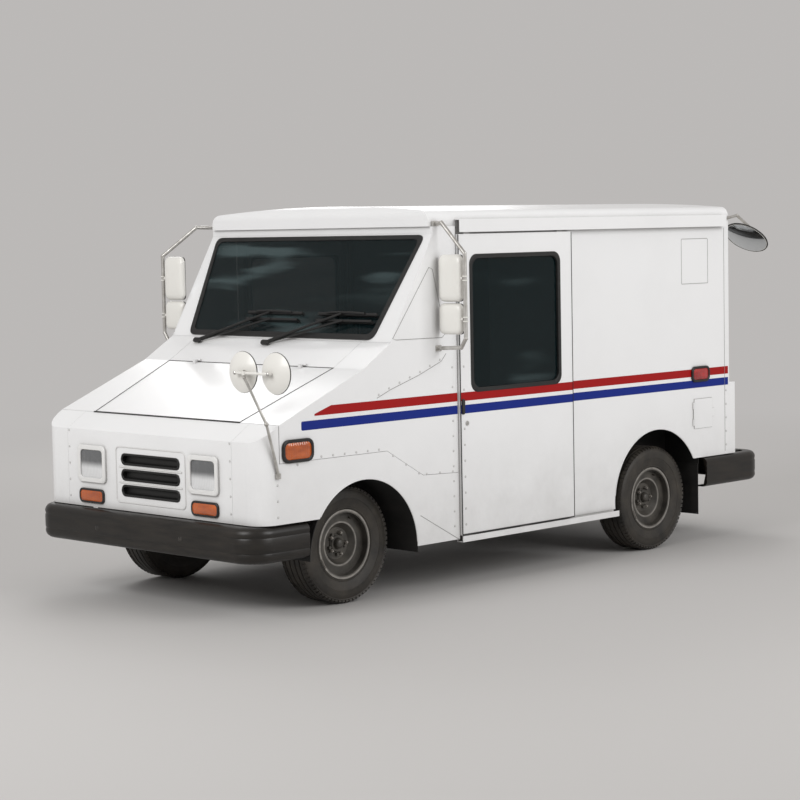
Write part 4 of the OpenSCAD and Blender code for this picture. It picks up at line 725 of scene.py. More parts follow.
# ---- Glass ----
# Tinted safety glass: a flat laminated windscreen and one toughened pane in each
# sliding door, all held by black rubber channels pressed on round their edges.
def pane(name, clearness, slant):
    """Dark glass with slanting pale streaks across it, paler and less clear along them."""
    made = Finish(name, (0.010, 0.022, 0.024), Specular_IOR_Level=0.22)
    turned = made.node("ShaderNodeMapping", {}, {
        "Vector": made.place(), "Rotation": (math.radians(slant), 0.0, 0.0), "Scale": (0.9, 0.45, 7.0)})
    streak = made.node("ShaderNodeTexNoise", {}, {
        "Vector": turned, "Scale": 1.7, "Detail": 2.0, "Roughness": 0.4})
    where = made.band(made.speckle(1.1, 1.0), 0.42, 0.60)
    pale_streaks = made.band(streak, 0.50, 0.70) * where
    made.feed("Base Color", made.blend(pale_streaks * 0.7, (0.004, 0.011, 0.0125), (0.085, 0.125, 0.13)))
    made.feed("Alpha", pale_streaks * 0.14 + clearness)
    made.feed("Roughness", pale_streaks * 0.2 + 0.05)
    return made


screen_glass, door_glass = pane("screen_glass", 0.60, 8), pane("door_glass", 0.70, 42)
dress(screen_glass, "windshield_glass")
dress(door_glass, "door_glass_left", "door_glass_right")
gasket_rubber = black_coat("gasket_rubber", (0.010, 0.010, 0.010), (0.05, 0.048, 0.045), 50.0, 0.45)
screen_low, screen_high = Vector((0, -1.187, 1.412)), Vector((0, -0.852, 1.996))
glass_low_z, glass_top_z = 1.432, 1.978
slope = (screen_high - screen_low).normalized()
screen = Face(screen_low, (1, 0, 0), slope)


def trapezoid(half_low, half_high, low, high, corner, steps=6):
    """The windscreen's outline, with round corners."""
    ends = [Vector(end) for end in ((half_low, low), (half_high, high), (-half_high, high), (-half_low, low))]
    points = []
    for i, end in enumerate(ends):
        before, after = (ends[i - 1] - end).normalized(), (ends[(i + 1) % 4] - end).normalized()
        for k in range(steps + 1):
            t = k / steps
            points.append(tuple(end + corner * ((1 - t) ** 2 * before + t ** 2 * after)))
    return points


rise = slope.z
low_v, high_v = (glass_low_z - 1.412) / rise, (glass_top_z - 1.412) / rise
piece("windscreen_gasket", gasket_rubber, "body", "wiper_black",
      screen.frame_band(trapezoid(0.783, 0.881, low_v - 0.012, high_v + 0.012, 0.050),
                        trapezoid(0.752, 0.850, low_v + 0.016, high_v - 0.016, 0.045), -0.0008, 0.0065))
window_low, window_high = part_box("door_glass_left")
for side, hand in sides:
    window = Face((side * door_x, (window_low.y + window_high.y) / 2, (window_low.z + window_high.z) / 2),
                  (0, side, 0), (0, 0, 1))
    width, height = window_high.y - window_low.y, window_high.z - window_low.z
    piece("window_gasket_" + hand, gasket_rubber, hand + "_door", "wiper_black",
          window.frame_band(rounded(width + 0.036, height + 0.036, 0.058, 8),
                            rounded(width - 0.014, height - 0.014, 0.052, 8), -0.022, 0.003, 0.002))


# ---- Sliding doors ----
# A pressed frame and skin on rollers, with a black rubber strip along the front
# edge and the sill, a riveted front seam, and a lock barrel below the grab handle.
moulded_black = black_coat("moulded_black", (0.012, 0.012, 0.012), (0.05, 0.048, 0.045), 60.0, 0.4)
lock_metal = Finish("lock_metal", (0.55, 0.54, 0.52), Metallic=1.0, Roughness=0.3)
lock_metal.feed("Roughness", lock_metal.speckle(90.0) * 0.3 + 0.18)
strip_low, strip_top = 0.303, 1.988
for side, hand in sides:
    edge_x = side * (door_x + 0.0008)
    piece("door_strips_" + hand, gasket_rubber, hand + "_door", "wiper_black",
          bar([(edge_x, door_front + 0.0035, z) for z in (strip_low, strip_top)], 0.0033, 8),
          bar([(edge_x, door_rear - 0.0035, z) for z in (strip_low, strip_top)], 0.0022, 8),
          bar([(edge_x, y, strip_low + 0.0005) for y in (door_front + 0.006, door_rear - 0.006)], 0.0033, 8))
    studs("door_rivets_" + hand, rivet_paint, hand + "_door",
          [([(side * door_x, door_front + 0.034, z0), (side * door_x, door_front + 0.034, z1)], (side, 0, 0))
           for z0, z1 in ((0.36, 0.90), (1.12, 1.25))], rivet_pitch, rivet_size)
    grab = Face((side * door_x, door_front + 0.023, 1.025), (0, side, 0), (0, 0, 1))
    piece("door_grab_" + hand, moulded_black, hand + "_door", "wiper_black",
          grab.slab(rounded(0.022, 0.086, 0.008), 0.0001, 0.0085, 0.003))
    lock = Face((side * door_x, door_front + 0.055, 0.930), (0, side, 0), (0, 0, 1))
    piece("door_lock_" + hand, lock_metal, hand + "_door", "lamp_bezel",
          lock.slab(rounded(0.026, 0.026, 0.0129, 8), -0.001, 0.004),
          lock.slab(rounded(0.003, 0.010, 0.0014, 4), 0.003, 0.0046, 0.0004))


# ---- Wipers ----
# Each arm is a painted steel bar on a driven shaft; a hinged bow under its tip
# carries the rubber blade. A nut under a moulded cap holds the arm to its shaft.
wiper_black = black_coat("wiper_black", (0.008, 0.008, 0.008), (0.03, 0.028, 0.026), 50.0, 0.35)
dress(wiper_black, "wiper_left", "wiper_right")
reach, blade_v, shaft_v = 0.560, 0.155, -0.045
for x, hand in ((-0.630, "right"), (-0.030, "left")):
    saddle = [screen.at(x + reach + u, blade_v, n) for u, n in (
        (-0.15, 0.034), (-0.11, 0.040), (-0.03, 0.046), (0.03, 0.046), (0.11, 0.040), (0.15, 0.034))]
    cap = Face(screen.at(x, shaft_v, 0), screen.across, screen.up)
    piece("wiper_trim_" + hand, wiper_black, hand + "_wiper", "wiper_black",
          bar(saddle, 0.0065, 8),
          bar([screen.at(x + reach + u, blade_v, 0.020) for u in (-0.235, -0.23, 0.23, 0.235)],
              [0.004, 0.0105, 0.0105, 0.004], 10),
          cap.slab(rounded(0.072, 0.030, 0.0145, 8), 0.041, 0.052, 0.005),
          bar([screen.at(x + u, v, n) for u, v, n in ((0.02, -0.039, 0.045), (0.30, 0.062, 0.047),
                                                      (0.54, 0.149, 0.045))], [0.0095, 0.0080, 0.0065], 8))


# ---- Mirrors ----
# Steel tube arms carry flat mirrors in moulded cream shells beside the doors; a thin
# post on the left wing carries two round convex mirrors, and one looks down behind.
tube_metal = Finish("tube_metal", (0.52, 0.505, 0.48), Metallic=0.75)
wear = tube_metal.speckle(22.0, 5.0, 0.6)
tube_metal.feed("Base Color", tube_metal.blend(
    (wear * 1.7 - 0.5).limited(), (0.60, 0.59, 0.565), (0.27, 0.25, 0.225)))
tube_metal.feed("Roughness", wear * 0.35 + 0.22)
tube_metal.relief(tube_metal.speckle(240.0), 0.0004, 0.2)
dress(tube_metal, "mirror_arms")
mirror_shell = paint("mirror_shell", (0.80, 0.79, 0.75), 0.30, (0.28, 0.26, 0.23))
dress(mirror_shell, "cross_view_mirrors", "rear_view_mirror")
silvering = Finish("silvering", (0.75, 0.78, 0.80), Metallic=1.0, Roughness=0.03)
silvering.feed("Roughness", silvering.speckle(14.0, 4.0) * 0.10)
mirror_rubber = black_coat("mirror_rubber", (0.012, 0.012, 0.012), (0.06, 0.056, 0.05), 50.0, 0.45)
for side, hand in sides:
    head_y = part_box("mirror_head_" + hand)[0].y + 0.018
    glasses, edges, shells = [], [], []
    for z0, z1 in ((1.620, 1.880), (1.440, 1.612)):
        middle = Vector((side * 1.031, head_y + 0.012, (z0 + z1) / 2))
        flat = Face(middle, (-1, 0, 0), (0, 0, 1))
        glasses.append(flat.slab(rounded(0.158, z1 - z0 - 0.016, 0.018), -0.001, 0.003, 0.001))
        loop = rounded(0.174, z1 - z0, 0.034, 8)
        back = ((0.30, -0.0298), (0.74, -0.0285), (0.90, -0.0235), (0.975, -0.0150), (1.0, -0.0060),
                (1.0, 0.0))
        shells.append(woven([[flat.at(u * k, v * k, n) for u, v in loop] for k, n in back]))
        clasp = (side * 1.140, head_y, (z0 + z1) / 2)
        shells.append(bar([(side * 1.110, head_y, clasp[2]), (side * 1.127, head_y, clasp[2])], 0.0085, 12))
        collar = [(clasp[0] + 0.0148 * math.cos(t), clasp[1] + 0.0148 * math.sin(t)) for t in
                  (2 * math.pi * k / 24 for k in range(24))]
        for level in (-0.011, 0.011):
            shells.append(woven([[(x, y, clasp[2] + level + h) for x, y in collar] for h in (-0.003, 0.003)]))
        edges.append(flat.frame_band(rounded(0.172, z1 - z0 - 0.002, 0.024),
                                     rounded(0.156, z1 - z0 - 0.018, 0.018), -0.002, 0.005, 0.0015))
    shell = piece("mirror_shells_" + hand, mirror_shell, hand + "_mirrors", "mirror_shell", *shells)
    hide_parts("mirror_head_" + hand)
    piece("mirror_glass_" + hand, silvering, hand + "_mirrors", "lamp_bezel", *glasses)
    piece("mirror_rubber_" + hand, mirror_rubber, hand + "_mirrors", "wiper_black", *edges)


def dish(middle, axis, radius, bulge, thickness=0.0015, steps=48):
    """A convex round mirror: a shallow cap bulging along the axis, closed behind."""
    axis = Vector(axis).normalized()
    across = axis.orthogonal().normalized()
    side = axis.cross(across)
    rings = []
    crown = [(radius * k / 6, bulge * (1 - (k / 6) ** 2)) for k in (6, 5, 4, 3, 2, 1, 0.2)]
    for r, h in [(radius, -thickness)] + crown:
        rings.append([Vector(middle) + axis * h + r * (across * math.cos(t) + side * math.sin(t))
                      for t in (2 * math.pi * i / steps for i in range(steps))])
    return woven(rings)


def hoop(middle, axis, radius, thick, steps=56):
    """A rubber ring round a mirror's edge."""
    axis = Vector(axis).normalized()
    across = axis.orthogonal().normalized()
    side = axis.cross(across)
    return bar([Vector(middle) + radius * (across * math.cos(t) + side * math.sin(t))
                for t in (2 * math.pi * i / steps for i in range(steps))], thick, 8, True)


cross_low, cross_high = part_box("cross_view_mirrors")
post_x, post_y, post_z = cross_low.x + 0.177, cross_low.y + 0.014, (cross_low.z + cross_high.z) / 2
disc_offsets = (-0.070, 0.185)
piece("cross_mirror_glass", silvering, "cross_mirrors", "lamp_bezel",
      *[dish((post_x + d, post_y + 0.060, post_z), (0, 1, 0), 0.100, 0.010) for d in disc_offsets])
piece("cross_mirror_rims", mirror_rubber, "cross_mirrors", "wiper_black",
      *[hoop((post_x + d, post_y + 0.056, post_z), (0, 1, 0), 0.1045, 0.0045) for d in disc_offsets])
piece("cross_mirror_nuts", lock_metal, "cross_mirrors", "lamp_bezel",
      *[dish((post_x + d, post_y - 0.007, post_z), (0, -1, 0), 0.010, 0.005, 0.006, 12)
        for d in disc_offsets])
disc_low, disc_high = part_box("rear_view_mirror")
tilt = math.radians(39)
look = Vector((0, -math.sin(tilt), -math.cos(tilt)))
disc_middle = Vector(((disc_low.x + disc_high.x) / 2, 2.066, 1.928))
piece("rear_mirror_glass", silvering, "rear_mirror", "lamp_bezel",
      dish(disc_middle + 0.0085 * look, look, 0.136, 0.012))
piece("rear_mirror_rim", mirror_rubber, "rear_mirror", "wiper_black",
      hoop(disc_middle + 0.004 * look, look, 0.1425, 0.005))


# ---- Wheels ----
# Black rubber radial tyres with four circumferential grooves and cut shoulder blocks,
# on pressed steel wheels held by five nuts, with grease caps, valves and balance weights.
def turned_ring(profile, middle_x, side, centre_y, centre_z, steps=96):
    """A closed profile of (radius, distance from the middle) turned round the axle."""
    rings = []
    for i in range(steps):
        t = 2 * math.pi * i / steps
        rings.append([(middle_x + side * h, centre_y + r * math.cos(t), centre_z + r * math.sin(t))
                      for r, h in profile])
    return woven(rings, True)


def tyre_profile(radius, half, bead):
    """Half a tyre's outside with its grooves and sidewall rings, then its inside."""
    grooves = []
    for at in (0.020, 0.056):
        grooves += [(radius - 0.0006 * (at / 0.02), at - 0.0045), (radius - 0.0075, at - 0.0032),
                    (radius - 0.0075, at + 0.0032), (radius - 0.0006 * (at / 0.02), at + 0.0045)]
    sidewall = ((0.004, 0.024), (0.010, 0.012), (0.022, 0.004), (0.026, 0.0055), (0.034, 0.0018),
                (0.050, 0.0), (0.066, 0.0002), (0.067, 0.0), (0.071, 0.0002), (0.072, 0.0020),
                (0.094, 0.0060))
    heel = ((0.026, 0.013), (0.024, 0.011), (0.019, 0.011), (0.017, 0.014), (0.010, 0.018), (0.001, 0.020))
    outside = (grooves + [(radius - down, half - inward) for down, inward in sidewall]
               + [(bead + up, half - inward) for up, inward in heel])
    inside = [(bead + 0.001, half - 0.033), (bead + 0.035, half - 0.030), (radius - 0.050, half - 0.014),
              (radius - 0.020, half - 0.030), (radius - 0.014, 0.0)]
    return outside, inside


tyre_rubber = Finish("tyre_rubber", (0.022, 0.020, 0.018), Specular_IOR_Level=0.45)
dusty = tyre_rubber.speckle(7.0, 6.0, 0.65)
fine = tyre_rubber.speckle(60.0, 3.0)
tyre_rubber.feed("Base Color", tyre_rubber.blend(
    (dusty * 1.8 - 0.55).limited(), (0.0085, 0.0075, 0.0062), (0.058, 0.049, 0.038)))
tyre_rubber.feed("Roughness", fine * 0.2 + dusty * 0.2 + 0.32)
tyre_rubber.relief(tyre_rubber.speckle(210.0, 2.0), 0.0005, 0.35)


def wheel_steel(name, centre_y, centre_z):
    """Grey-brown enamel on steel with painted highlight rings on the lip and the dish's shoulder, broken up
    like rubbed wear, and nuts rubbed bright.
    """
    made = Finish(name, (0.10, 0.092, 0.080), Specular_IOR_Level=0.5)
    across = made.axis("Y", centre=(0, centre_y, centre_z))
    upward = made.axis("Z", centre=(0, centre_y, centre_z))
    radius = (across * across + upward * upward) ** 0.5
    wear_map = made.speckle(30.0, 5.0, 0.6)
    # painted highlight: pale metallic rings on the rim's lip and the dish's shoulder, broken up by the wear
    # noise
    lip_highlight = made.band(radius, 0.174, 0.186)
    shoulder = made.band((radius - 0.118).size(), 0.001, 0.008, 1.0, 0.0)
    highlight_and_wear = (lip_highlight + shoulder * 0.8).limited() * (wear_map * 1.4).limited()
    grime = made.blend((made.speckle(12.0, 5.0) * 1.8 - 0.5).limited(),
                       (0.026, 0.024, 0.021), (0.095, 0.086, 0.073))
    made.feed("Base Color", made.blend(highlight_and_wear, grime, (0.42, 0.40, 0.37)))
    made.feed("Metallic", highlight_and_wear * 0.7 + 0.15)
    made.feed("Roughness", wear_map * 0.3 + 0.28)
    made.relief(made.speckle(150.0, 2.0), 0.0005, 0.3)
    return made


nut_steel = Finish("nut_steel", (0.30, 0.285, 0.26), Metallic=0.9)
nut_steel.feed("Roughness", nut_steel.speckle(120.0) * 0.4 + 0.22)
nut_steel.feed("Base Color", nut_steel.blend(
    nut_steel.speckle(70.0, 4.0), (0.16, 0.14, 0.12), (0.46, 0.44, 0.41)))
for place in ("front_left", "front_right", "rear_left", "rear_right"):
    low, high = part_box("tyre_" + place)
    middle, side = (low + high) / 2, 1 if low.x > 0 else -1
    radius, half = (high.z - low.z) / 2, (high.x - low.x) / 2
    rim_low, rim_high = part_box("rim_" + place)
    bead = (rim_high.z - rim_low.z) / 2 - 0.012
    outside, inside = tyre_profile(radius - 0.0008, half - 0.0006, bead)
    near = [(r, -h) for r, h in outside]
    profile = outside + inside + [(r, -h) for r, h in reversed(inside[:-1])] + near[::-1]
    tyre = piece("tread_" + place, tyre_rubber, "wheel_" + place, "tyre_rubber",
                 turned_ring(profile, middle.x, side, middle.y, middle.z), crease=30)
    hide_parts("tyre_" + place)
    circle = [2 * math.pi * i / 72 for i in range(73)]
    lugs, lug_r = [], radius - 0.0125
    for away in (half - 0.0155, -half + 0.0155):
        lean_out = 0.55 * (1 if away > 0 else -1) * side
        line = [(middle.x + side * away, middle.y + lug_r * math.cos(t), middle.z + lug_r * math.sin(t))
                for t in circle]
        ways = [(lean_out, math.cos(t), math.sin(t)) for t in circle]
        lugs.append((line, ways))
    studs("shoulder_blocks_" + place, tyre_rubber, "wheel_" + place, lugs, 0.0268,
          (0.0185, 0.022, 0.014), "block")
    steel = wheel_steel("wheel_steel_" + place, middle.y, middle.z)
    dress(steel, "rim_" + place)
    face_x = middle.x + side * 0.013
    hub = Face((face_x, middle.y, middle.z), (0, side, 0), (0, 0, 1))
    nut_r, cap_r = 0.0603, 0.0290
    cap = [[hub.at(r * math.cos(t), r * math.sin(t), n) for t in (2 * math.pi * k / 32 for k in range(32))]
           for r, n in ((cap_r, 0.0), (cap_r, 0.020), (cap_r - 0.001, 0.028), (cap_r - 0.005, 0.036),
                        (cap_r - 0.013, 0.041), (0.004, 0.042))]
    ring = [[hub.at(r * math.cos(t), r * math.sin(t), n) for t in (2 * math.pi * k / 40 for k in range(40))]
            for r, n in ((0.0475, 0.0), (0.0475, 0.010), (0.045, 0.0135), (0.032, 0.0135), (0.031, 0.008),
                         (0.031, 0.0))]
    piece("grease_cap_" + place, steel, "wheel_" + place, "wheel_steel", woven(cap), woven(ring, True))
    nuts = []
    for k in range(5):
        t = 2 * math.pi * k / 5
        nut = hub.at(nut_r * math.cos(t), nut_r * math.sin(t), 0.0)
        hexes = [[nut + hub.across * (r * math.cos(a)) + hub.up * (r * math.sin(a)) + hub.out * n
                  for a in (2 * math.pi * j / 6 for j in range(6))]
                 for r, n in ((0.0112, 0.0), (0.0112, 0.018), (0.0085, 0.0215))]
        nuts.append(woven(hexes))
        nuts.append(bar([nut + hub.out * 0.018, nut + hub.out * 0.028], 0.0058, 10))
    piece("wheel_nuts_" + place, nut_steel, "wheel_" + place, "wheel_steel", *nuts)
    valve_t = math.radians(64)
    stem = [hub.at(r * math.cos(valve_t), r * math.sin(valve_t), n)
            for r, n in ((0.158, 0.024), (0.152, 0.038), (0.146, 0.052))]
    weight = [hub.at(0.1835 * math.cos(t), 0.1835 * math.sin(t), 0.070) for t in
              (math.radians(200 + 3 * k) for k in range(7))]
    piece("valve_" + place, tyre_rubber, "wheel_" + place, "tyre_rubber",
          bar(stem, [0.0055, 0.0042, 0.0036], 10))
    piece("balance_weight_" + place, nut_steel, "wheel_" + place, "wheel_steel", bar(weight, 0.0042, 8))


# ---- Wheel arches ----
# Moulded black liners and flaps behind the wheels, stone-chipped and dusty; they
# bolt under the arch panels' edges, which are rolled inwards round a wire.
liner_black = black_coat("liner_black", (0.008, 0.008, 0.008), (0.045, 0.040, 0.034), 9.0, 0.55)
dress(liner_black, "wheelhouses")
arch_edges = []
front_arch, rear_arch = (-1.409, 0.290, 0.400, cab_x), (1.144, 0.335, 0.420, cargo_x)
for side in (1, -1):
    for (centre_y, centre_z, radius, x), start, end in (
            (front_arch, 34, 147), (front_arch, 2, 38), (rear_arch, 30, 177)):
        arc = [math.radians(a) for a in range(start, end, 3)]
        arch_edges.append(bar([(side * (x - 0.0015), centre_y + radius * math.cos(t),
                                centre_z + radius * math.sin(t)) for t in arc], 0.0036, 8))
piece("arch_edges", white_paint, "body", "white_paint", *arch_edges)


# ---- Rear door ----
# A curtain of interlocked aluminium slats that rolls on a sprung barrel, with a
# bottom bar, a rubber seal and a T-handle latch.
slat_white = paint("slat_white", (0.78, 0.785, 0.79), 0.3, (0.24, 0.225, 0.20))
curtain_low, curtain_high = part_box("rear_curtain")
lift, slat_count = 1.25, 30
slat_pitch = (curtain_high.z - curtain_low.z) / slat_count
groove = 0.0045
slat_profile = ((0.0, groove), (0.07, groove), (0.12, 0.0012), (0.30, 0.0), (0.74, 0.0), (0.93, 0.0012))
slat_face = [(curtain_low.z + (k + t) * slat_pitch, curtain_high.y - inset) for k in range(slat_count)
             for t, inset in slat_profile]
slat_face.append((curtain_high.z, curtain_high.y - groove))
curtain = piece("rear_curtain_slats", slat_white, "body", "white_paint", woven([
    [(x, y, z) for z, y in slat_face] + [(x, curtain_low.y, z) for z, _ in reversed(slat_face)]
    for x in (curtain_low.x, curtain_high.x)]))
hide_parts("rear_curtain")
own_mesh(curtain)
bar_metal = Finish("bar_metal", (0.50, 0.50, 0.49), Metallic=0.85)
brushed = bar_metal.speckle(30.0, 5.0, 0.6, stretch=(0.15, 1, 3))
bar_metal.feed("Roughness", brushed * 0.35 + 0.22)
bar_metal.feed("Base Color", bar_metal.blend(brushed, (0.36, 0.355, 0.34), (0.62, 0.62, 0.61)))
dress(bar_metal, "rear_door_bar", "rear_barrel")
bar_low, bar_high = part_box("rear_door_bar")
latch = Face((0, curtain_high.y + 0.002, bar_low.z + 0.040), (-1, 0, 0), (0, 0, 1))
piece("rear_door_seal", gasket_rubber, "rear_door", "wiper_black",
      bar([(x, curtain_high.y - 0.004, bar_low.z + 0.0045) for x in (bar_low.x + 0.03, bar_high.x - 0.03)],
          0.0045, 10))
piece("rear_door_latch", lock_metal, "rear_door", "lamp_bezel",
      latch.slab([(u + 0.22, v - 0.012) for u, v in rounded(0.090, 0.040, 0.012)], 0.0, 0.004),
      bar([latch.at(0.22, -0.012, 0.003), latch.at(0.22, -0.012, 0.030)], 0.007, 12),
      bar([latch.at(0.185, -0.012, 0.030), latch.at(0.255, -0.012, 0.030)], [0.0075, 0.0075], 12))
frame_y, jamb_x = body_rear + 0.010, 0.855
rear_rows = [[(s * jamb_x, frame_y, z) for z in (1.06, 1.98)] for s in (1, -1)]
rear_rows.append([(x, frame_y, 2.005) for x in (-0.72, 0.72)])
studs("rear_frame_rivets", rivet_paint, "body", [(row, (0, 1, 0)) for row in rear_rows],
      rivet_pitch, rivet_size)
opening_trim = [(s * 0.786, z) for s, z in ((1, 0.612), (1, 1.936), (-1, 1.936), (-1, 0.612))]
piece("rear_opening_trim", gasket_rubber, "body", "wiper_black",
      bar([(x, body_rear + 0.0105, z) for x, z in opening_trim], 0.0045, 8))
plate_face = Face((0, rear_high.y + 0.0004, 0.4425), (-1, 0, 0), (0, 0, 1))
plate_metal = paint("plate_metal", (0.70, 0.70, 0.68), 0.35, (0.25, 0.23, 0.20))
piece("blank_number_plate", plate_metal, "body", "lamp_bezel",
      plate_face.slab(rounded(0.305, 0.152, 0.012), 0.0, 0.0014, 0.0004))


# ---- Cab interior ----
# Grey-painted walls and floor, a dark moulded dashboard with a hooded dial cluster,
# a rubber-rimmed wheel on the right, and an aluminium tray for sorted mail.
interior_grey = paint("interior_grey", (0.42, 0.43, 0.44), 0.45, (0.16, 0.15, 0.14))
dress(interior_grey, "firewall", "partition_wall")
floor_grey = paint("floor_grey", (0.20, 0.205, 0.21), 0.5, (0.09, 0.08, 0.07))
dress(floor_grey, "floor_pan")
moulding = black_coat("dark_moulding", (0.030, 0.031, 0.033), (0.09, 0.088, 0.085), 60.0, 0.5)
dress(moulding, "dashboard", "steering_column", "steering_wheel", "gear_selector", "seat_pedestal",
      "accelerator_pedal", "brake_pedal")
tray_metal = Finish("tray_metal", (0.55, 0.555, 0.56), Metallic=0.9)
milled = tray_metal.speckle(26.0, 5.0, 0.6, stretch=(0.2, 2, 2))
tray_metal.feed("Roughness", milled * 0.3 + 0.28)
tray_metal.feed("Base Color", tray_metal.blend(milled, (0.42, 0.42, 0.42), (0.64, 0.64, 0.64)))
dress(tray_metal, "mail_tray")
seat_steel = black_coat("seat_steel", (0.035, 0.037, 0.040), (0.10, 0.098, 0.09), 40.0, 0.4)
dress(seat_steel, "seat_frame")
dash_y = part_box("dashboard")[1].y
dial_face = Face((-0.430, dash_y + 0.001, 1.090), (-1, 0, 0), (0, 0, 1))
dials, needles = [], []
for u, r in ((-0.062, 0.042), (0.040, 0.042), (0.118, 0.024), (-0.132, 0.024)):
    ring_loop = [(u + r * math.cos(t), r * math.sin(t)) for t in (2 * math.pi * k / 32 for k in range(32))]
    bezel_loop = [(u + (x - u) * 1.10, y * 1.10) for x, y in ring_loop]
    dials.append(dial_face.frame_band(bezel_loop, ring_loop, -0.001, 0.008, 0.001))
    needle = [dial_face.at(u, 0, 0.004), dial_face.at(u - 0.7 * r, 0.35 * r, 0.004)]
    needles.append(bar(needle, [0.0016, 0.0006], 6))
piece("dial_cluster", moulding, "body", "interior_grey",
      dial_face.frame_band(rounded(0.360, 0.120, 0.030), rounded(0.340, 0.100, 0.022), -0.001, 0.022), *dials)
needle_white = paint("needle_white", (0.75, 0.72, 0.65), 0.4, (0.3, 0.28, 0.25))
piece("dial_needles", needle_white, "body", "interior_grey", *needles)


# ---- Driver's seat ----
# Foam cushions under tight grey vinyl-coated cloth: each is two panels sewn to a
# border with piping, crowned by its foam and dimpled along two sewn channels.
seat_cloth = Finish("seat_cloth", (0.055, 0.060, 0.070), Sheen_Weight=0.25, Roughness=0.75)
weave = seat_cloth.node("ShaderNodeTexWave", {"wave_type": "BANDS", "bands_direction": "X"}, {
    "Vector": seat_cloth.place(), "Scale": 110.0, "Distortion": 0.6}) * seat_cloth.node(
    "ShaderNodeTexWave", {"wave_type": "BANDS", "bands_direction": "DIAGONAL"}, {
        "Vector": seat_cloth.place(), "Scale": 110.0, "Distortion": 0.6})
fade = seat_cloth.speckle(8.0, 4.0)
seat_cloth.feed("Base Color", seat_cloth.blend(
    weave * 0.6 + fade * 0.3, (0.035, 0.038, 0.046), (0.12, 0.13, 0.145)))
seat_cloth.feed("Roughness", fade * 0.2 + 0.6)
seat_cloth.relief(weave, 0.0008, 0.5)
seat_low, seat_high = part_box("seat_cushions")


def stuffed(name, low, high, thin):
    """A cushion blown up by cloth pressure from a slightly smaller soft-cornered block."""
    low, high = Vector(low), Vector(high)
    middle, size = (low + high) / 2, high - low
    mesh = bpy.data.meshes.new(name)
    shape = bmesh.new()
    bmesh.ops.create_cube(shape, size=1.0)
    for corner in shape.verts:
        corner.co = Vector(tuple(middle[i] + corner.co[i] * (size[i] - 0.018) for i in range(3)))
    bmesh.ops.bevel(shape, geom=shape.edges[:], offset=0.022, segments=3, profile=0.6, affect="EDGES")
    shape.to_mesh(mesh)
    shape.free()
    made = bpy.data.objects.new(name, mesh)
    studio.collection.objects.link(made)
    remesh = made.modifiers.new("even", "REMESH")
    remesh.mode, remesh.voxel_size = "VOXEL", 0.006
    view = bpy.context.evaluated_depsgraph_get()
    made.data = bpy.data.meshes.new_from_object(made.evaluated_get(view))
    made.modifiers.clear()
    start = [v.co.copy() for v in made.data.vertices]
    cloth = made.modifiers.new("foam", "CLOTH")
    cloth.settings.use_pressure = True
    cloth.settings.uniform_pressure_force = 4.0
    cloth.settings.effector_weights.gravity = 0.0
    cloth.settings.quality = 5
    cloth.point_cache.frame_start, cloth.point_cache.frame_end = 1, 20
    for frame_number in range(1, 21):
        studio.frame_set(frame_number)
    view = bpy.context.evaluated_depsgraph_get()
    blown = bpy.data.meshes.new_from_object(made.evaluated_get(view))
    moved = [v.co - s for v, s in zip(blown.vertices, start)]
    made.modifiers.clear()
    studio.frame_set(1)
    cap = 0.008
    for vertex, rest, move in zip(made.data.vertices, start, moved):
        if move.length > cap:
            move = move * (cap / move.length)
        at = rest + move
        across = (at[0] - middle[0]) / (size[0] / 2)
        for channel in (-0.36, 0.36):
            groove = math.exp(-(((across - channel) * size[0] / 2) / 0.006) ** 2)
            reach = (at[thin] - middle[thin]) / (size[thin] / 2)
            if abs(reach) > 0.6:
                at[thin] -= math.copysign(0.007 * groove, reach)
        for i in range(3):
            at[i] = min(max(at[i], low[i] + 0.0005), high[i] - 0.0005)
        vertex.co = at
    made.data.materials.clear()
    made.data.materials.append(seat_cloth.material)
    made.data.shade_smooth()
    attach(made, "driver_seat")
    return made


def piping(low, high, thin, level):
    """The sewn piping's loop round a cushion's border."""
    a, b = [i for i in range(3) if i != thin]
    path = []
    for u, v in rounded(high[a] - low[a] - 0.012, high[b] - low[b] - 0.012, 0.030, 5):
        point = [0.0, 0.0, 0.0]
        point[a], point[b], point[thin] = (low[a] + high[a]) / 2 + u, (low[b] + high[b]) / 2 + v, level
        path.append(point)
    return bar(path, 0.0042, 8, True)


base_rear_y, base_top_z, back_foot_z, pad_gap, back_narrower = 0.060, 0.880, 0.823, 0.002, 0.010
base_low = (seat_low.x, seat_low.y, seat_low.z)
base_high = (seat_high.x, base_rear_y, base_top_z)
back_low = (seat_low.x + back_narrower, base_rear_y + pad_gap, back_foot_z)
back_high = (seat_high.x - back_narrower, seat_high.y, seat_high.z)
base_pad = stuffed("seat_cushion", base_low, base_high, 2)
stuffed("back_cushion", back_low, back_high, 1)
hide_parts("seat_cushions")
piece("seat_piping", seat_cloth, "driver_seat", "seat_cloth",
      piping(base_low, base_high, 2, base_high[2] - 0.014),
      piping(back_low, back_high, 1, back_low[1] + 0.014))


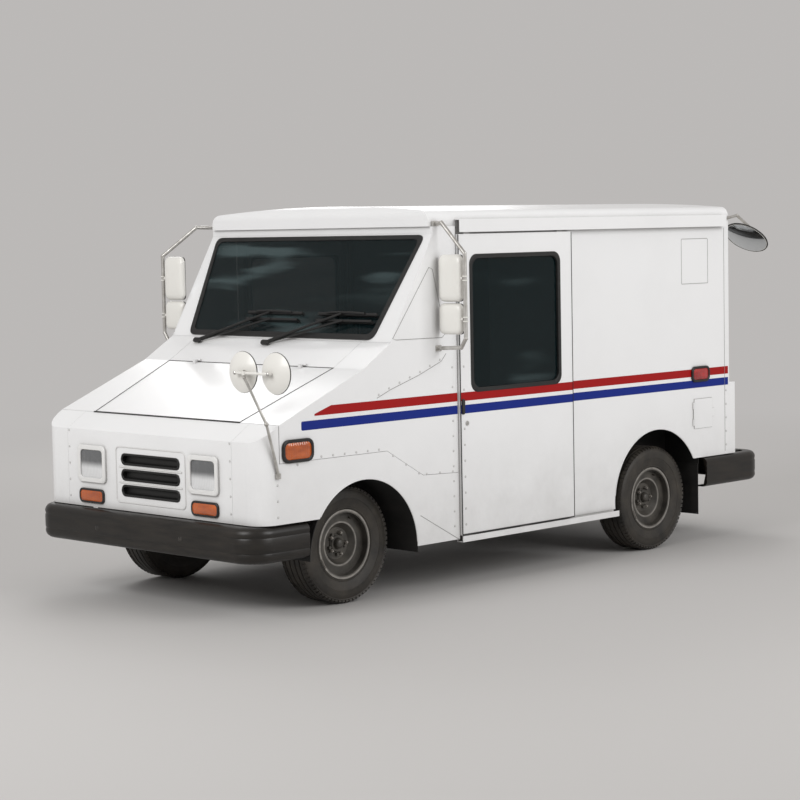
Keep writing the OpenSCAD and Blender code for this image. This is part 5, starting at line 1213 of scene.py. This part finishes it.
# ---- Chassis and running gear ----
# A pressed ladder frame, a four-cylinder engine, leaf springs and a live rear axle,
# all under black chassis paint; below hang the steel fuel tank, silencer and pipes.
frame_black = black_coat("frame_black", (0.014, 0.014, 0.014), (0.09, 0.075, 0.058), 9.0, 0.45)
dress(frame_black, "ladder_frame")
running_gear = black_coat("running_gear", (0.028, 0.028, 0.029), (0.12, 0.095, 0.070), 16.0, 0.45)
dress(running_gear, "front_suspension", "rear_axle", "steering_rack", "knuckle_left", "knuckle_right")
engine_iron = Finish("engine_iron", (0.12, 0.12, 0.122), Metallic=0.55)
oily = engine_iron.speckle(14.0, 6.0, 0.65)
engine_iron.feed("Base Color", engine_iron.blend(
    (oily * 1.8 - 0.5).limited(), (0.17, 0.17, 0.172), (0.07, 0.052, 0.036)))
engine_iron.feed("Roughness", oily * 0.4 + 0.3)
engine_iron.relief(engine_iron.speckle(70.0, 4.0), 0.0015, 0.5)
dress(engine_iron, "engine")
exhaust_steel = Finish("exhaust_steel", (0.22, 0.19, 0.16), Metallic=0.7)
rust = exhaust_steel.speckle(18.0, 6.0, 0.7)
exhaust_steel.feed("Base Color", exhaust_steel.blend(
    (rust * 2.0 - 0.6).limited(), (0.26, 0.245, 0.225), (0.17, 0.072, 0.030)))
exhaust_steel.feed("Roughness", rust * 0.45 + 0.35)
tank_face = Face((0, 1.590, 0.410), (1, 0, 0), (0, 0, 1))
tank_loop = rounded(0.60, 0.17, 0.05)
tank = [[tank_face.at(u * k, v * k, n) for u, v in tank_loop]
        for k, n in ((0.94, -0.180), (1.0, -0.165), (1.0, -0.02), (1.0, 0.02), (1.0, 0.165), (0.94, 0.180))]
piece("fuel_tank", frame_black, "body", "frame_black", woven(tank))
piece("tank_straps", running_gear, "body", "frame_black", *[
    tank_face.frame_band([(u * 1.012, v * 1.03) for u, v in tank_loop], rounded(0.598, 0.168, 0.05),
                         n - 0.016, n + 0.016, 0.0008) for n in (-0.09, 0.09)])
pipe_x, pipe_z = 0.24, 0.300
silencer = [[(pipe_x + 0.085 * k * math.cos(t), y, pipe_z + 0.055 * k * math.sin(t))
             for t in (2 * math.pi * i / 28 for i in range(28))]
            for y, k in ((0.02, 0.5), (0.03, 0.92), (0.045, 1.0), (0.40, 1.0), (0.415, 0.92), (0.425, 0.5))]
pipe = [(0.17, -1.15, 0.44), (0.22, -1.0, 0.33), (pipe_x, -0.8, pipe_z), (pipe_x, 0.03, pipe_z)]
tail = [(pipe_x, 0.42, pipe_z), (0.26, 0.62, pipe_z), (0.285, 0.80, 0.44), (0.285, 1.02, 0.475),
        (0.285, 1.30, 0.470), (0.36, 1.50, pipe_z), (0.44, 1.80, 0.285), (0.44, 2.10, 0.285)]
piece("exhaust", exhaust_steel, "body", "running_gear",
      woven(silencer), bar(pipe, 0.023, 14), bar(tail, 0.021, 14))
